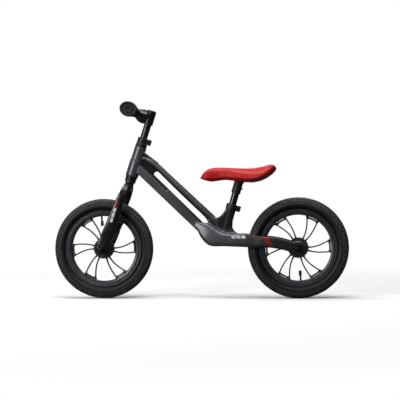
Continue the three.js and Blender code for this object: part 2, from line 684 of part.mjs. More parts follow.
function frameCasting() {
  const tubes = join(
    toHead(upright(HEAD_TUBE_DIAMETER, HEAD_BOTTOM, HEAD_TOP)),
    toHead(upright(HEAD_TUBE_LOWER_DIAMETER, HEAD_BOTTOM, HEAD_BOTTOM + HEAD_TUBE_SLEEVE_LENGTH)),
    toSeat(upright(SEAT_TUBE_DIAMETER, SEAT_BORE_FLOOR, SEAT_TUBE_TOP)),
    upperBeam(),
    lowerBeam(),
    gusset(),
  );
  return cut(
    tubes.add(rearCasting()),
    toHead(upright(HEAD_TUBE_BORE, HEAD_BOTTOM - PAST, HEAD_TOP + PAST)),
    toSeat(upright(SEAT_TUBE_BORE, SEAT_BORE_FLOOR, SEAT_TUBE_TOP + PAST)),
    toSeat(clampCut(SEAT_TUBE_DIAMETER, SEAT_TUBE_TOP - CLAMP_HEIGHT - PAST, SEAT_TUBE_TOP + PAST)),
    axleHole().translate(REAR_X, 0, TYRE_RADIUS),
  );
}

// ---- Headset and fork, about Z along the steering axis ----

// A pressed cup: a skirt inside the head tube and a shell round the bearing, on one side of the tube's end.
function headsetCup(end, outward, height, outerDiameter) {
  const outer = outerDiameter / 2;
  const skirt = HEAD_TUBE_BORE / 2 - FIT;
  const bore = HEADSET_BORE / 2;
  const seat = bore + HEADSET_BALL_WIDTH + FIT;
  const face = end + outward * FIT;
  return turnedUpright([
    [bore, face - outward * CUP_SKIRT],
    [skirt, face - outward * CUP_SKIRT],
    [skirt, face],
    [outer, face],
    [outer, face + outward * height],
    [seat, face + outward * height],
    [seat, face + outward * CUP_FLOOR],
    [bore, face + outward * CUP_FLOOR],
  ]);
}

function headset() {
  const balls = HEADSET_BORE + 2 * HEADSET_BALL_WIDTH;
  const lowerFace = HEAD_BOTTOM - FIT;
  const upperFace = HEAD_TOP + FIT;
  const lowerCup = headsetCup(HEAD_BOTTOM, -1, LOWER_CUP_HEIGHT, HEAD_TUBE_DIAMETER);
  const upperCup = headsetCup(HEAD_TOP, 1, UPPER_CUP_HEIGHT, HEAD_TUBE_DIAMETER);
  const lowerBearing = collar(balls, HEADSET_BORE, lowerFace - LOWER_CUP_HEIGHT, lowerFace - CUP_FLOOR - FIT);
  const upperBearing = collar(balls, HEADSET_BORE, upperFace + CUP_FLOOR + FIT, upperFace + UPPER_CUP_HEIGHT);
  return [
    part("headset_cup_lower", solid(lowerCup), "blackSteel"),
    part("headset_cup_upper", solid(upperCup), "blackSteel"),
    part("headset_bearing_lower", solid(lowerBearing), "steel"),
    part("headset_bearing_upper", solid(upperBearing), "steel"),
  ];
}

function forkBody() {
  const blade = [
    [-11.5, CROWN_TOP],
    [-10, CROWN_TOP - 40],
    [-6, 0.55 * CROWN_TOP],
    [-8, 0.28 * CROWN_TOP],
    ...arc([FORK_RAKE, 0], DROPOUT_DIAMETER / 2 - 1, 190, 370, 8),
    [26.5, 0.25 * CROWN_TOP],
    [22, 0.48 * CROWN_TOP],
    [16.3, CROWN_TOP - 56],
    [12, CROWN_TOP - 30],
    [12, CROWN_TOP],
  ];
  const inside = BLADE_GAP / 2;
  const outside = inside + BLADE_THICKNESS;
  const bladeTop = CROWN_TOP - CROWN_SHOULDER;
  const outerArch = arc([outside - CROWN_SHOULDER, bladeTop], CROWN_SHOULDER, 0, 90, 4);
  const archRadius = BLADE_GAP / 2 - 2;
  const innerArch = arc([inside - archRadius, CROWN_BOTTOM - archRadius], archRadius, 90, 0, 3);
  const half = [
    [0, CROWN_TOP],
    ...outerArch.reverse(),
    [outside, 90],
    [DROPOUT_OUTER, 40],
    [DROPOUT_OUTER, -DROPOUT_DIAMETER],
    [DROPOUT_GAP / 2, -DROPOUT_DIAMETER],
    [DROPOUT_GAP / 2, 40],
    [inside, 60],
    ...innerArch.reverse(),
    [0, CROWN_BOTTOM],
  ];
  const front = mirrored(half, 0);
  const arms = both(sidePlate(blade, 3 * DROPOUT_GAP), facePlate(front, -DROPOUT_GAP, DROPOUT_GAP));
  const steererTop = STEM_CLAMP_TOP - STEERER_SET_BACK;
  const steerer = upright(STEERER_DIAMETER, CROWN_BOTTOM + CROWN_HEIGHT / 2, steererTop);
  return cut(
    arms.add(solid(steerer)),
    upright(STEERER_BORE, CROWN_BOTTOM + CROWN_HEIGHT / 4, steererTop + PAST),
    clampCut(STEERER_DIAMETER, STEM_CLAMP_BOTTOM - PAST, steererTop + PAST),
    axleHole().translate(FORK_RAKE, 0, 0),
  );
}

function steering() {
  const raceFrom = CROWN_TOP + FIT;
  const raceTo = CROWN_TOP + CROWN_RACE_HEIGHT - FIT;
  const race = turnedUpright([
    [HEADSET_BORE / 2, raceFrom],
    [HEAD_TUBE_DIAMETER / 2 - 0.5, raceFrom],
    [HEAD_TUBE_DIAMETER / 2 - 1.5, raceTo],
    [HEADSET_BORE / 2, raceTo],
  ]);
  const capFrom = UPPER_CUP_TOP + FIT;
  const topCap = collar(HEAD_TUBE_DIAMETER - 1, HEADSET_BORE, capFrom, capFrom + TOP_CAP_HEIGHT);
  return [
    part("fork", forkBody(), "glossBlack"),
    part("headset_crown_race", solid(race), "blackSteel"),
    part("headset_top_cap", solid(topCap), "blackPlastic"),
    ...clamp("stem", STEERER_DIAMETER, STEM_CLAMP_BOTTOM),
  ];
}

// ---- Handlebar, about Z along the steering axis ----

function stemHead() {
  const sleeve = BAR_DIAMETER + 2 * (FIT + STEM_SLEEVE_WALL);
  const half = STEM_SLEEVE_LENGTH / 2;
  return cut(
    join(
      upright(STEM_HEAD_DIAMETER, STEM_HEAD_BOTTOM, STEM_HEAD_TOP),
      lengthBar(STEM_ARM_DIAMETER, 0, STEM_REACH).translate(0, 0, BAR_HEIGHT),
      crossBar(sleeve, -half, half).translate(STEM_REACH, 0, BAR_HEIGHT),
    ),
    upright(RISER_DIAMETER + 2 * FIT, STEM_HEAD_BOTTOM - PAST, STEM_HEAD_TOP - STEM_HEAD_ROOF),
    crossBar(BAR_DIAMETER + 2 * FIT, -half - PAST, half + PAST).translate(STEM_REACH, 0, BAR_HEIGHT),
    lengthBar(SET_SCREW_DIAMETER + 2 * FIT, STEM_REACH, STEM_REACH + sleeve).translate(0, 0, BAR_HEIGHT),
  );
}

function grip(sign) {
  const barEnd = BAR_LENGTH / 2;
  const end = barEnd + GRIP_END_LENGTH;
  const start = end - GRIP_LENGTH;
  const bore = BAR_DIAMETER / 2 + FIT;
  const outer = bore + GRIP_WALL;
  const flange = start + GRIP_FLANGE_THICKNESS;
  const inOval = end - GRIP_END_LENGTH / 2;
  const handle = turned([
    [bore, start],
    [outer + GRIP_FLANGE_STANDOUT, start],
    [outer + GRIP_FLANGE_STANDOUT, flange],
    [outer, flange + GRIP_WALL / 2],
    [outer, inOval],
    [0, inOval],
    [0, barEnd + FIT],
    [bore, barEnd + FIT],
  ]);
  const [across, along] = GRIP_END_SIZE;
  const oval = crossBar(along, end - GRIP_END_LENGTH, end).scale(across / along, 1, 1);
  const body = cut(join(handle, oval), crossBar(2 * bore, start - PAST, barEnd + FIT));
  const geometry = geometryOf(body);
  if (sign < 0) geometry.rotateZ(Math.PI);
  return solid(geometry.translate(STEM_REACH, 0, BAR_HEIGHT));
}

function handlebar() {
  const riserBottom = STEM_CLAMP_TOP - RISER_INSERTION;
  const riserTop = STEM_HEAD_TOP - STEM_HEAD_ROOF - FIT;
  const riser = collar(RISER_DIAMETER, RISER_DIAMETER - 2 * TUBE_WALL, riserBottom, riserTop);
  const bar = ring(BAR_DIAMETER, BAR_DIAMETER - 2 * TUBE_WALL, -BAR_LENGTH / 2, BAR_LENGTH / 2);
  const screwFrom = STEM_REACH + BAR_DIAMETER / 2 + FIT;
  const screw = lengthBar(SET_SCREW_DIAMETER, screwFrom, screwFrom + STEM_SLEEVE_WALL);
  return [
    part("riser_tube", solid(riser), "blackTube"),
    part("stem_head", stemHead(), "blackTube"),
    part("handlebar_set_screw", solid(screw.translate(0, 0, BAR_HEIGHT)), "blackSteel"),
    part("handlebar_tube", solid(bar.translate(STEM_REACH, 0, BAR_HEIGHT)), "blackTube"),
    part("grip_left", grip(1), "gripRubber"),
    part("grip_right", grip(-1), "gripRubber"),
  ];
}

// ---- Saddle, with [forwards, up] from where the post's axis meets its underside ----

const SADDLE_TOP = [
  [-112, 36], [-94, 45], [-70, 40], [-42, 35], [28, 38],
  [78, 38.5], [97, 35], [112, 22], [120, 7],
];
const SADDLE_BOTTOM = [[80, 0], [44, 6], [-10, -2], [-52, -3], [-74, 4], [-100, 22]];
const SADDLE_HALF_PLAN = [
  [120, 7], [112, 17], [95, 22], [60, 25], [30, 32], [0, 47],
  [-30, 63], [-60, 73], [-86, 75], [-103, 65], [-112, 36],
];
const BASE_POINTS = 5; // points of the underside, from the nose, that the base covers
const NOSE_HALF = 4; // least half-width of the base and its pocket

// Half the saddle's plan, drawn in from its edge.
const saddlePlan = (inset) => SADDLE_HALF_PLAN.map(([x, half]) => [x, Math.max(half - inset, NOSE_HALF)]);

// The saddle's base: a plate along the underside, narrower than the cushion by the inset.
function saddleBasePlate() {
  const low = SADDLE_BOTTOM.slice(0, BASE_POINTS);
  const top = low.map(([x, z]) => [x, z + SADDLE_BASE_THICKNESS]).reverse();
  return both(
    sidePlate([...low, ...top], 2 * TYRE_RADIUS),
    planPlate(mirrored(saddlePlan(SADDLE_BASE_INSET)), -TYRE_RADIUS, TYRE_RADIUS),
  );
}

// The pocket in the cushion's underside that takes the base with a gap all round.
function saddleBasePocket() {
  const low = SADDLE_BOTTOM.slice(0, BASE_POINTS).map(([x, z]) => [x + Math.sign(x) * 2 * FIT, z]);
  const floor = low.map(([x, z]) => [x, z - SADDLE_BASE_THICKNESS]);
  const roof = low.map(([x, z]) => [x, z + SADDLE_BASE_THICKNESS + 2 * FIT]).reverse();
  return both(
    sidePlate([...floor, ...roof], 2 * TYRE_RADIUS),
    planPlate(mirrored(saddlePlan(SADDLE_BASE_INSET - 2 * FIT)), -TYRE_RADIUS, TYRE_RADIUS),
  );
}

// All that lies below the middle of the base, as a side outline.
function belowBaseMiddle() {
  const top = SADDLE_BOTTOM.slice(0, BASE_POINTS).map(([x, z]) => [x, z + SADDLE_BASE_THICKNESS / 2]);
  const low = -2 * SADDLE_SOCKET_LENGTH;
  return [...top, [top.at(-1)[0], low], [top[0][0], low]];
}

function saddle() {
  const cushion = both(
    sidePlate([...SADDLE_TOP, ...SADDLE_BOTTOM], 2 * TYRE_RADIUS),
    planPlate(mirrored(saddlePlan(0)), -TYRE_RADIUS, TYRE_RADIUS),
  ).subtract(saddleBasePocket());
  const onPost = (geometry) => geometry.rotateY(-radians(SEAT_LEAN));
  const socket = both(
    onPost(upright(SADDLE_SOCKET_DIAMETER, -SADDLE_SOCKET_LENGTH, SADDLE_SOCKET_DIAMETER)),
    sidePlate(belowBaseMiddle(), 2 * TYRE_RADIUS),
  );
  const socketBore = onPost(upright(SADDLE_SOCKET_BORE, -SADDLE_SOCKET_LENGTH - PAST, 0));
  const screwHeight = -0.6 * SADDLE_SOCKET_LENGTH;
  const screwFrom = -SEAT_POST_DIAMETER / 2 - FIT;
  const screwTo = -SADDLE_SOCKET_DIAMETER / 2 - SADDLE_SCREW_STANDOUT;
  const screwBar = (diameter, to) =>
    onPost(lengthBar(diameter, to, screwFrom, SMALL_SIDES).translate(0, 0, screwHeight));
  const base = cut(
    saddleBasePlate().add(socket),
    socketBore,
    screwBar(SADDLE_SCREW_DIAMETER + 2 * FIT, screwTo - PAST),
  );
  return [
    part("saddle_base", base, "blackPlastic"),
    part("saddle_socket_screw", solid(screwBar(SADDLE_SCREW_DIAMETER, screwTo)), "steel"),
    part("saddle_cushion", cushion, "redCover"),
  ];
}

function seatPost() {
  const bottom = SEAT_TUBE_TOP - SEAT_POST_INSERTION;
  const tube = collar(SEAT_POST_DIAMETER, SEAT_POST_DIAMETER - 2 * TUBE_WALL, bottom, SADDLE_HEIGHT - 1);
  return part("seat_post", solid(tube), "blackTube");
}

// ---- The whole bike ----

const bike = new THREE.Group();
bike.add(
  part("frame", frameCasting(), "graphite"),
  group(headset(), STEERING_FOOT, HEAD_LEAN),
  group(steering(), STEERING_FOOT, HEAD_LEAN),
  group(handlebar(), STEERING_FOOT, HEAD_LEAN),
  group(clamp("seat", SEAT_TUBE_DIAMETER, SEAT_TUBE_TOP - CLAMP_HEIGHT), SEAT_FOOT, SEAT_LEAN),
  group([seatPost()], SEAT_FOOT, SEAT_LEAN),
  group(saddle(), SADDLE_FOOT),
  axleSet("rear", [REAR_X, TYRE_RADIUS]),
  axleSet("front", [FRONT_X, TYRE_RADIUS]),
  wheel("rear", [REAR_X, TYRE_RADIUS], 0),
  wheel("front", [FRONT_X, TYRE_RADIUS], 180),
);

export default bike;
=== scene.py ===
"""A child's balance bike: detailed surfaces, finishes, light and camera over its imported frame."""

import json
import math

import bmesh
import bpy
import numpy as np
from bpy.props import FloatProperty, FloatVectorProperty, IntProperty, PointerProperty
from mathutils import Matrix, Vector

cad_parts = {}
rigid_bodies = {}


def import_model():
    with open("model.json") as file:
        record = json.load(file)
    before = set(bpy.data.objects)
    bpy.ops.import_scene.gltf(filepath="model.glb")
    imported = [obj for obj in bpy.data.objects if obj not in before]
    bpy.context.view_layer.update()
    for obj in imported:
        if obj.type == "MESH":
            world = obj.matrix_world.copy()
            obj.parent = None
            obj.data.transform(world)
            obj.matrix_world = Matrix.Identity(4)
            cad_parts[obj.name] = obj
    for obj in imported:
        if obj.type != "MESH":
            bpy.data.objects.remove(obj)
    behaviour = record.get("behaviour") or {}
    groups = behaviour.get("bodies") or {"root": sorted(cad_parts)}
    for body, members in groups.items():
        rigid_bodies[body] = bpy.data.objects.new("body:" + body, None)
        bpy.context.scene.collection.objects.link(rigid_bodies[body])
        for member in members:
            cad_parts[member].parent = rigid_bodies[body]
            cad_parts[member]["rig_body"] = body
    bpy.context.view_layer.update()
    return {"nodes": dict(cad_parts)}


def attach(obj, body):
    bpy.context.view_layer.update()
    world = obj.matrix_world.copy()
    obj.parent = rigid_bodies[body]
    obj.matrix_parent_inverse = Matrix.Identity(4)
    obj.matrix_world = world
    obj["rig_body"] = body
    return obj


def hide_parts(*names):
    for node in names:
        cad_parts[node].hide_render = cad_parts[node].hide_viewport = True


bl_info = {
    "name": "Balance bike", "version": (1, 0, 0), "blender": (4, 5, 0),
    "location": "3D View > Sidebar > Balance bike",
    "description": "Builds the finished pieces of a balance bike over its frame", "category": "Add Mesh",
}

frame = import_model()
NODES = frame["nodes"]

# Places in millimetres and leans, as the frame's own axes and boxes have them.
HEAD_LEAN, SEAT_LEAN = math.radians(18.0), math.radians(16.3)
HEAD_FOOT, SEAT_FOOT = (282.7341, 147.8647), (-60.5, 152.5)
SADDLE_FOOT = (-120.56, 357.9)
AXLE_Z = 152.5
AXLES = {"rear": -297.0, "front": 297.0}
BAR_AHEAD, BAR_HEIGHT = 45, 426.2
# Bores, in millimetres: the steerer, seat tube and sockets, and whatever an axle runs through.
TUBE_BORE, AXLE_BORE = 11.4, 5.3
# The two hands, as (name, side of the middle plane).
HANDS = (("left", 1), ("right", -1))


# ---- Points and surfaces, in millimetres, as whole arrays ----


def leaning(points, foot, lean):
    """Points (ahead, side, height) stood on an axis that leans back by an angle from its foot.

    x = foot + ahead cos - height sin, z = foot + ahead sin + height cos.
    """
    ahead, side, height = np.asarray(points, float).T
    sin, cos = math.sin(lean), math.cos(lean)
    return np.stack([foot[0] + ahead * cos - height * sin, side, foot[1] + ahead * sin + height * cos], -1)


def at_head(points):
    """Points stood on the steering axis, from the foot that the fork's dropouts are measured from."""
    return leaning(points, HEAD_FOOT, HEAD_LEAN)


def at_seat(points):
    """Points stood on the seat tube's axis."""
    return leaning(points, SEAT_FOOT, SEAT_LEAN)


def about_y(points, x=0.0, z=0.0):
    """Points turned about the upright axis laid over so that their height runs along the bike's side axis."""
    a, b, along = np.asarray(points, float).T
    return np.stack([x + a, along, z - b], -1)


def on_axle(x, hand=1):
    """A mapping that lays a shape's upright axis along the axle at x, towards one side of the bike."""
    return lambda p: about_y(p, x, AXLE_Z) * (1, hand, 1)


def at(mapping, surface):
    """A surface with its points carried through a mapping."""
    return mapping(surface[0]), surface[1]


def smooth_rows(rows, count):
    """Rows of numbers resampled on a Catmull-Rom spline that runs through them all.

    p(t) = half of (2 b + (c - a) t + (2a - 5b + 4c - d) t^2 + (3b - a - 3c + d) t^3).
    """
    rows = np.asarray(rows, float)
    padded = np.vstack([2 * rows[0] - rows[1], rows, 2 * rows[-1] - rows[-2]])
    place = np.linspace(0, len(rows) - 1, count)
    span = np.minimum(place.astype(int), len(rows) - 2)
    t = (place - span)[:, None]
    a, b, c, d = (padded[span + k] for k in range(4))
    return 0.5 * (2 * b + (c - a) * t + (2 * a - 5 * b + 4 * c - d) * t**2 + (3 * b - a - 3 * c + d) * t**3)


def grid(points, wrap_rows=False, wrap_columns=True):
    """A grid of points as a surface: each face takes four neighbours, and a wrapped side meets its start."""
    rows, columns = points.shape[:2]
    r = np.arange(rows if wrap_rows else rows - 1)[:, None]
    c = np.arange(columns if wrap_columns else columns - 1)[None, :]
    below, right = (r + 1) % rows, (c + 1) % columns
    quads = np.stack([r * columns + c, r * columns + right, below * columns + right, below * columns + c], -1)
    return points.reshape(-1, 3), [quads.reshape(-1, 4)]


def loft(rings):
    """Rings of points skinned in order, each end closed by one flat face."""
    verts, faces = grid(rings)
    around = rings.shape[1]
    ends = np.array([np.arange(around)[::-1], np.arange(around) + len(verts) - around])
    return verts, faces + [ends]


def together(*surfaces):
    """Several surfaces as one, each keeping its own points."""
    verts, faces, start = [], [], 0
    for points, groups in surfaces:
        verts.append(points)
        faces += [group + start for group in groups]
        start += len(points)
    return np.vstack(verts), faces


def round_angles(count):
    """Evenly spaced angles round a full turn, the last one short of the first: 2 pi k / count."""
    return np.arange(count) * 2 * np.pi / count


def turned(profile, steps=64, wrap=True):
    """A profile of (radius, height) turned about the upright axis: (r cos a, r sin a, h).

    A wrapped profile closes on itself as a ring. One that isn't wrapped starts and ends on the axis.
    """
    radius, height = np.asarray(profile, float).T
    angle = round_angles(steps)
    across, side = np.outer(radius, np.cos(angle)), np.outer(radius, np.sin(angle))
    return grid(np.stack([across, side, np.outer(height, np.ones(steps))], -1), wrap_rows=wrap)


def eased(profile, radius, arcs=3):
    """A closed profile with every corner cut back by a radius and rounded on a quadratic curve.

    Corner p between a and b: (1-t)^2 a + 2 t (1-t) p + t^2 b.
    """
    p = np.asarray(profile, float)
    before, after = np.roll(p, 1, 0) - p, np.roll(p, -1, 0) - p
    length = [np.linalg.norm(v, axis=1, keepdims=True) for v in (before, after)]
    a, b = (p + v * np.minimum(radius, 0.45 * n) / n for v, n in zip((before, after), length))
    t = np.linspace(0, 1, arcs + 1)[None, :, None]
    curve = (1 - t) ** 2 * a[:, None] + 2 * t * (1 - t) * p[:, None] + t**2 * b[:, None]
    return curve.reshape(-1, p.shape[1])


def tube(outer, inner, start, end, ease=0.5, steps=64):
    """A straight ring with eased edges."""
    return turned(eased([(inner, start), (outer, start), (outer, end), (inner, end)], ease), steps)


def rod(radius, start, end, ease=0.8, steps=64):
    """A solid bar with eased ends, closed on its axis."""
    rim = eased([(0, start), (radius, start), (radius, end), (0, end)], ease)[4:12]
    return turned(np.vstack([[(0, start)], rim, [(0, end)]]), steps, wrap=False)


def drill(radius, start, end, steps=64):
    """A plain bar with square ends, closed on its axis, to cut a bore with."""
    return turned([(0, start), (radius, start), (radius, end), (0, end)], steps, wrap=False)


def saw(low, high):
    """A thin box behind an axis, to cut a clamping slit with, from the axis back to 20."""
    outline = ((-20, -1.2), (0, -1.2), (0, 1.2), (-20, 1.2))
    return loft(np.array([[(ahead, side, height) for ahead, side in outline] for height in (low, high)],
                         float))


def inset(outline, distance):
    """A closed outline moved inwards along the mean of its two edges' normals at each corner."""
    after, before = np.roll(outline, -1, 0) - outline, outline - np.roll(outline, 1, 0)
    after /= np.linalg.norm(after, axis=1, keepdims=True)
    before /= np.linalg.norm(before, axis=1, keepdims=True)
    along = after + before
    along /= np.maximum(np.linalg.norm(along, axis=1, keepdims=True), 1e-6)
    spread = 1 / np.maximum(np.sum(along * after, 1, keepdims=True), 0.5)
    x, y = outline.T
    turn = np.sign(np.sum(x * np.roll(y, -1) - np.roll(x, -1) * y))
    return outline + turn * distance * spread * np.stack([-along[:, 1], along[:, 0]], -1)


def plate(outline, start, end, ease=1.0, arcs=3):
    """An outline (a, b) raised from start to end, its two rims eased on a quarter circle.

    At angle q round the rim the outline is drawn in by ease (1 - sin q) at a height of ease (1 - cos q).
    """
    outline = np.asarray(outline, float)
    q = np.linspace(0, np.pi / 2, arcs + 1)
    rings = [(ease * (1 - math.sin(a)), start + ease * (1 - math.cos(a))) for a in q]
    rings += [(d, start + end - h) for d, h in reversed(rings)]
    points = [np.column_stack([inset(outline, d), np.full(len(outline), h)]) for d, h in rings]
    return loft(np.array(points))


def side_plate(outline, half, ease=1.0, arcs=3):
    """An outline of (forwards, up) points as a plate either side of the middle plane."""
    verts, faces = plate(outline, -half, half, ease, arcs)
    return verts[:, [0, 2, 1]], faces


def nut(width, bore, start, end):
    """A hexagon nut with turned-down corners: radius w / (2 cos(a mod 60 - 30)), cut to a circle at each
    face.
    """
    steps = 72
    angle = round_angles(steps)
    hexagon = width / 2 / np.cos((angle % (np.pi / 3)) - np.pi / 6)
    face = np.minimum(hexagon, width / 2 + 0.25)
    round_bore = np.full(steps, bore / 2)
    fall = 0.16 * (end - start)
    rows = [
        (round_bore + 0.5, start), (face, start), (hexagon, start + fall), (hexagon, end - fall),
        (face, end), (round_bore + 0.5, end), (round_bore, end - 0.5), (round_bore, start + 0.5),
    ]
    points = [np.stack([r * np.cos(angle), r * np.sin(angle), np.full(steps, h)], -1) for r, h in rows]
    return grid(np.array(points), wrap_rows=True)


def rounded_ring(half_a, half_b, power, count=48):
    """A superellipse: |a / half_a|^n + |b / half_b|^n = 1, as (a, b) points."""
    angle = round_angles(count)
    cos, sin = np.cos(angle), np.sin(angle)
    ease = 2.0 / power
    return np.sign(cos) * np.abs(cos) ** ease * half_a, np.sign(sin) * np.abs(sin) ** ease * half_b


def side_loft(rows, power=3.0, count=48, steps=60):
    """Sections hung between a top and a bottom line, each as wide as its own two side values.

    Row: top x, top z, bottom x, bottom z, outer y, inner y.
    Point = middle + half the top-to-bottom line times b + half the width times a.
    """
    rows = smooth_rows(rows, steps)
    top, low, outer, inner = rows[:, None, 0:2], rows[:, None, 2:4], rows[:, 4:5], rows[:, 5:6]
    a, b = rounded_ring(1, 1, power, count)
    xz = (top + low) / 2 + (top - low) / 2 * b[None, :, None]
    y = (outer + inner) / 2 + (outer - inner) / 2 * a[None, :]
    return loft(np.stack([xz[..., 0], y, xz[..., 1]], -1))


# ---- Meshes and objects ----


def build(name, surface, weld=2e-6):
    """A Blender mesh in metres from a surface, its doubles merged and its faces turned outwards."""
    verts, groups = surface
    mesh = bpy.data.meshes.new(name)
    sizes = np.concatenate([np.full(len(g), g.shape[1]) for g in groups])
    mesh.vertices.add(len(verts))
    mesh.vertices.foreach_set("co", (verts * 0.001).astype(np.float32).ravel())
    corners = np.concatenate([g.ravel() for g in groups]).astype(np.int32)
    mesh.loops.add(len(corners))
    mesh.loops.foreach_set("vertex_index", corners)
    mesh.polygons.add(len(sizes))
    mesh.polygons.foreach_set("loop_start", np.concatenate([[0], np.cumsum(sizes)[:-1]]).astype(np.int32))
    mesh.polygons.foreach_set("loop_total", sizes.astype(np.int32))
    mesh.update(calc_edges=True)
    work = bmesh.new()
    work.from_mesh(mesh)
    bmesh.ops.remove_doubles(work, verts=work.verts, dist=weld)
    bmesh.ops.dissolve_degenerate(work, dist=1e-7, edges=work.edges)
    bmesh.ops.recalc_face_normals(work, faces=work.faces)
    work.to_mesh(mesh)
    work.free()
    return mesh


def put(name, mesh):
    """A new object in the scene, at the origin, for a mesh, a light or a camera."""
    piece = bpy.data.objects.new(name, mesh)
    bpy.context.scene.collection.objects.link(piece)
    return piece


def shaped(name, surface):
    """A surface as an object, with its mesh under the same name."""
    return put(name, build(name, surface))


def settle(piece):
    """A piece with its modifiers worked into its mesh."""
    bpy.context.view_layer.update()
    mesh = bpy.data.meshes.new_from_object(piece.evaluated_get(bpy.context.evaluated_depsgraph_get()))
    piece.modifiers.clear()
    piece.data = mesh
    return piece


def carve(piece, add=(), cut=()):
    """A piece joined with some closed surfaces and cut by others."""
    tools = []
    for operation, surfaces in (("UNION", add), ("DIFFERENCE", cut)):
        for surface in surfaces:
            tool = put("tool", build("tool", surface))
            step = piece.modifiers.new("cut", "BOOLEAN")
            step.operation, step.object, step.solver = operation, tool, "MANIFOLD"
            tools.append(tool)
    settle(piece)
    for tool in tools:
        bpy.data.objects.remove(tool)
    if not piece.data.polygons:
        raise RuntimeError(f"{piece.name} has no faces left after cutting")
    return piece


def cast(piece, voxel, passes):
    """A piece remade as one skin of small cells, then relaxed so its joints run together as in a casting."""
    remesh = piece.modifiers.new("skin", "REMESH")
    remesh.mode, remesh.voxel_size = "VOXEL", voxel * 0.001
    relax = piece.modifiers.new("relax", "SMOOTH")
    relax.factor, relax.iterations = 0.5, passes
    return settle(piece)


def finish_piece(piece, kind, node, sharp=35.0):
    """Gives a piece its finish and its body, and lets it stand for its CAD node."""
    piece.data.materials.clear()
    piece.data.materials.append(finish(kind))
    piece.data.shade_smooth()
    piece.data.set_sharp_from_angle(angle=math.radians(sharp))
    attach(piece, NODES[node]["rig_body"])
    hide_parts(node)
    return piece


def piece_of(name, surface, kind, node, sharp=35.0):
    """A surface made a finished piece in one step."""
    return finish_piece(shaped(name, surface), kind, node, sharp)


def points_of(mesh):
    """A mesh's points in millimetres."""
    flat = np.empty(len(mesh.vertices) * 3, np.float32)
    mesh.vertices.foreach_get("co", flat)
    return flat.reshape(-1, 3) * 1000.0


def add_weight(mesh, name, values):
    """One number for each point, for a material to read."""
    weight = mesh.attributes.new(name, "FLOAT", "POINT")
    weight.data.foreach_set("value", values.astype(np.float32))


def fade(values, low, high):
    """0 below low, 1 above high, and 3t^2 - 2t^3 between."""
    t = np.clip((values - low) / (high - low), 0, 1)
    return t * t * (3 - 2 * t)


# ---- Finishes ----


def linear(hex_colour):
    """A hex sRGB colour as linear light: ((c + 0.055) / 1.055)^2.4, or c / 12.92 in the darkest part."""
    parts = [int(hex_colour[i : i + 2], 16) / 255 for i in (1, 3, 5)]
    return tuple(c / 12.92 if c <= 0.04045 else ((c + 0.055) / 1.055) ** 2.4 for c in parts) + (1.0,)


def add_node(tree, kind, settings=None, **inputs):
    """Adds a node, sets its own settings, and sets or links its sockets by name (spaces as underscores)."""
    new = tree.nodes.new(kind)
    for key, value in (settings or {}).items():
        setattr(new, key, value)
    for key, value in inputs.items():
        socket = new.inputs[int(key[1:])] if key[0] == "_" else new.inputs[key.replace("_", " ")]
        if isinstance(value, bpy.types.NodeSocket):
            tree.links.new(value, socket)
        else:
            socket.default_value = value
    return new


def surface_finish(
    name, colour, roughness, metallic=0.0, grain=0.7, relief=0.03, blotch=30.0, shade=0.10, spread=0.08,
    cells=0.0, coat=0.0, coat_roughness=0.1, specular=0.5, rings=False, tint=None,
):
    """One recipe for a moulded, painted or machined skin.

    Fine noise, one grain wide, raises the bump and shifts the roughness. Broad noise, one blotch wide, shades
    the colour. Cells give a leather or pitted texture, and rings the marks of a lathe. A tint is a function
    that lays further colours over the base.
    """
    material = bpy.data.materials.new(name)
    material.use_nodes = True
    tree = material.node_tree
    tree.nodes.clear()
    place = add_node(tree, "ShaderNodeTexCoord").outputs["Object"]
    fine = add_node(tree, "ShaderNodeTexNoise", Vector=place, Scale=1000.0 / grain, Detail=3.0, Roughness=0.6)
    broad = add_node(tree, "ShaderNodeTexNoise", Vector=place, Scale=1000.0 / blotch, Detail=4.0,
                     Roughness=0.55)
    base = linear(colour)
    ramp = add_node(tree, "ShaderNodeValToRGB", Fac=broad.outputs["Fac"])
    for stop, factor, at_place in zip(ramp.color_ramp.elements, (1 - shade, 1 + shade), (0.32, 0.68)):
        stop.position = at_place
        stop.color = tuple(min(c * factor, 1.0) for c in base[:3]) + (1.0,)
    skin = ramp.outputs["Color"]
    if tint:
        skin = tint(tree, place, skin)
    height = fine.outputs["Fac"]
    if cells:
        pits = add_node(
            tree, "ShaderNodeTexVoronoi", {"feature": "DISTANCE_TO_EDGE"}, Vector=place, Scale=1000.0 / cells
        )
        valley = add_node(tree, "ShaderNodeMapRange", Value=pits.outputs["Distance"], From_Max=0.18)
        height = add_node(
            tree, "ShaderNodeMath", {"operation": "MULTIPLY_ADD"}, _0=valley.outputs[0], _1=1.5, _2=height
        ).outputs[0]
    if rings:
        lathe_marks = add_node(
            tree, "ShaderNodeTexWave", {"bands_direction": "DIAGONAL"},
            Vector=place, Scale=180.0, Distortion=2.0,
        )
        height = add_node(
            tree, "ShaderNodeMath", {"operation": "ADD"}, _0=lathe_marks.outputs["Fac"], _1=height
        ).outputs[0]
    bump = add_node(tree, "ShaderNodeBump", Strength=0.6, Distance=relief * 0.001, Height=height)
    mixed = add_node(
        tree, "ShaderNodeMath", {"operation": "ADD"}, _0=fine.outputs["Fac"], _1=broad.outputs["Fac"]
    )
    rough = add_node(
        tree, "ShaderNodeMapRange", Value=mixed.outputs[0], From_Min=0.7, From_Max=1.3,
        To_Min=max(roughness - spread, 0.03), To_Max=min(roughness + spread, 1.0),
    )
    shader = add_node(
        tree, "ShaderNodeBsdfPrincipled", Base_Color=skin, Roughness=rough.outputs[0],
        Metallic=metallic, Normal=bump.outputs[0],
    )
    shader.inputs["Coat Weight"].default_value = coat
    shader.inputs["Coat Roughness"].default_value = coat_roughness
    shader.inputs["Specular IOR Level"].default_value = specular
    add_node(tree, "ShaderNodeOutputMaterial", Surface=shader.outputs[0])
    return material


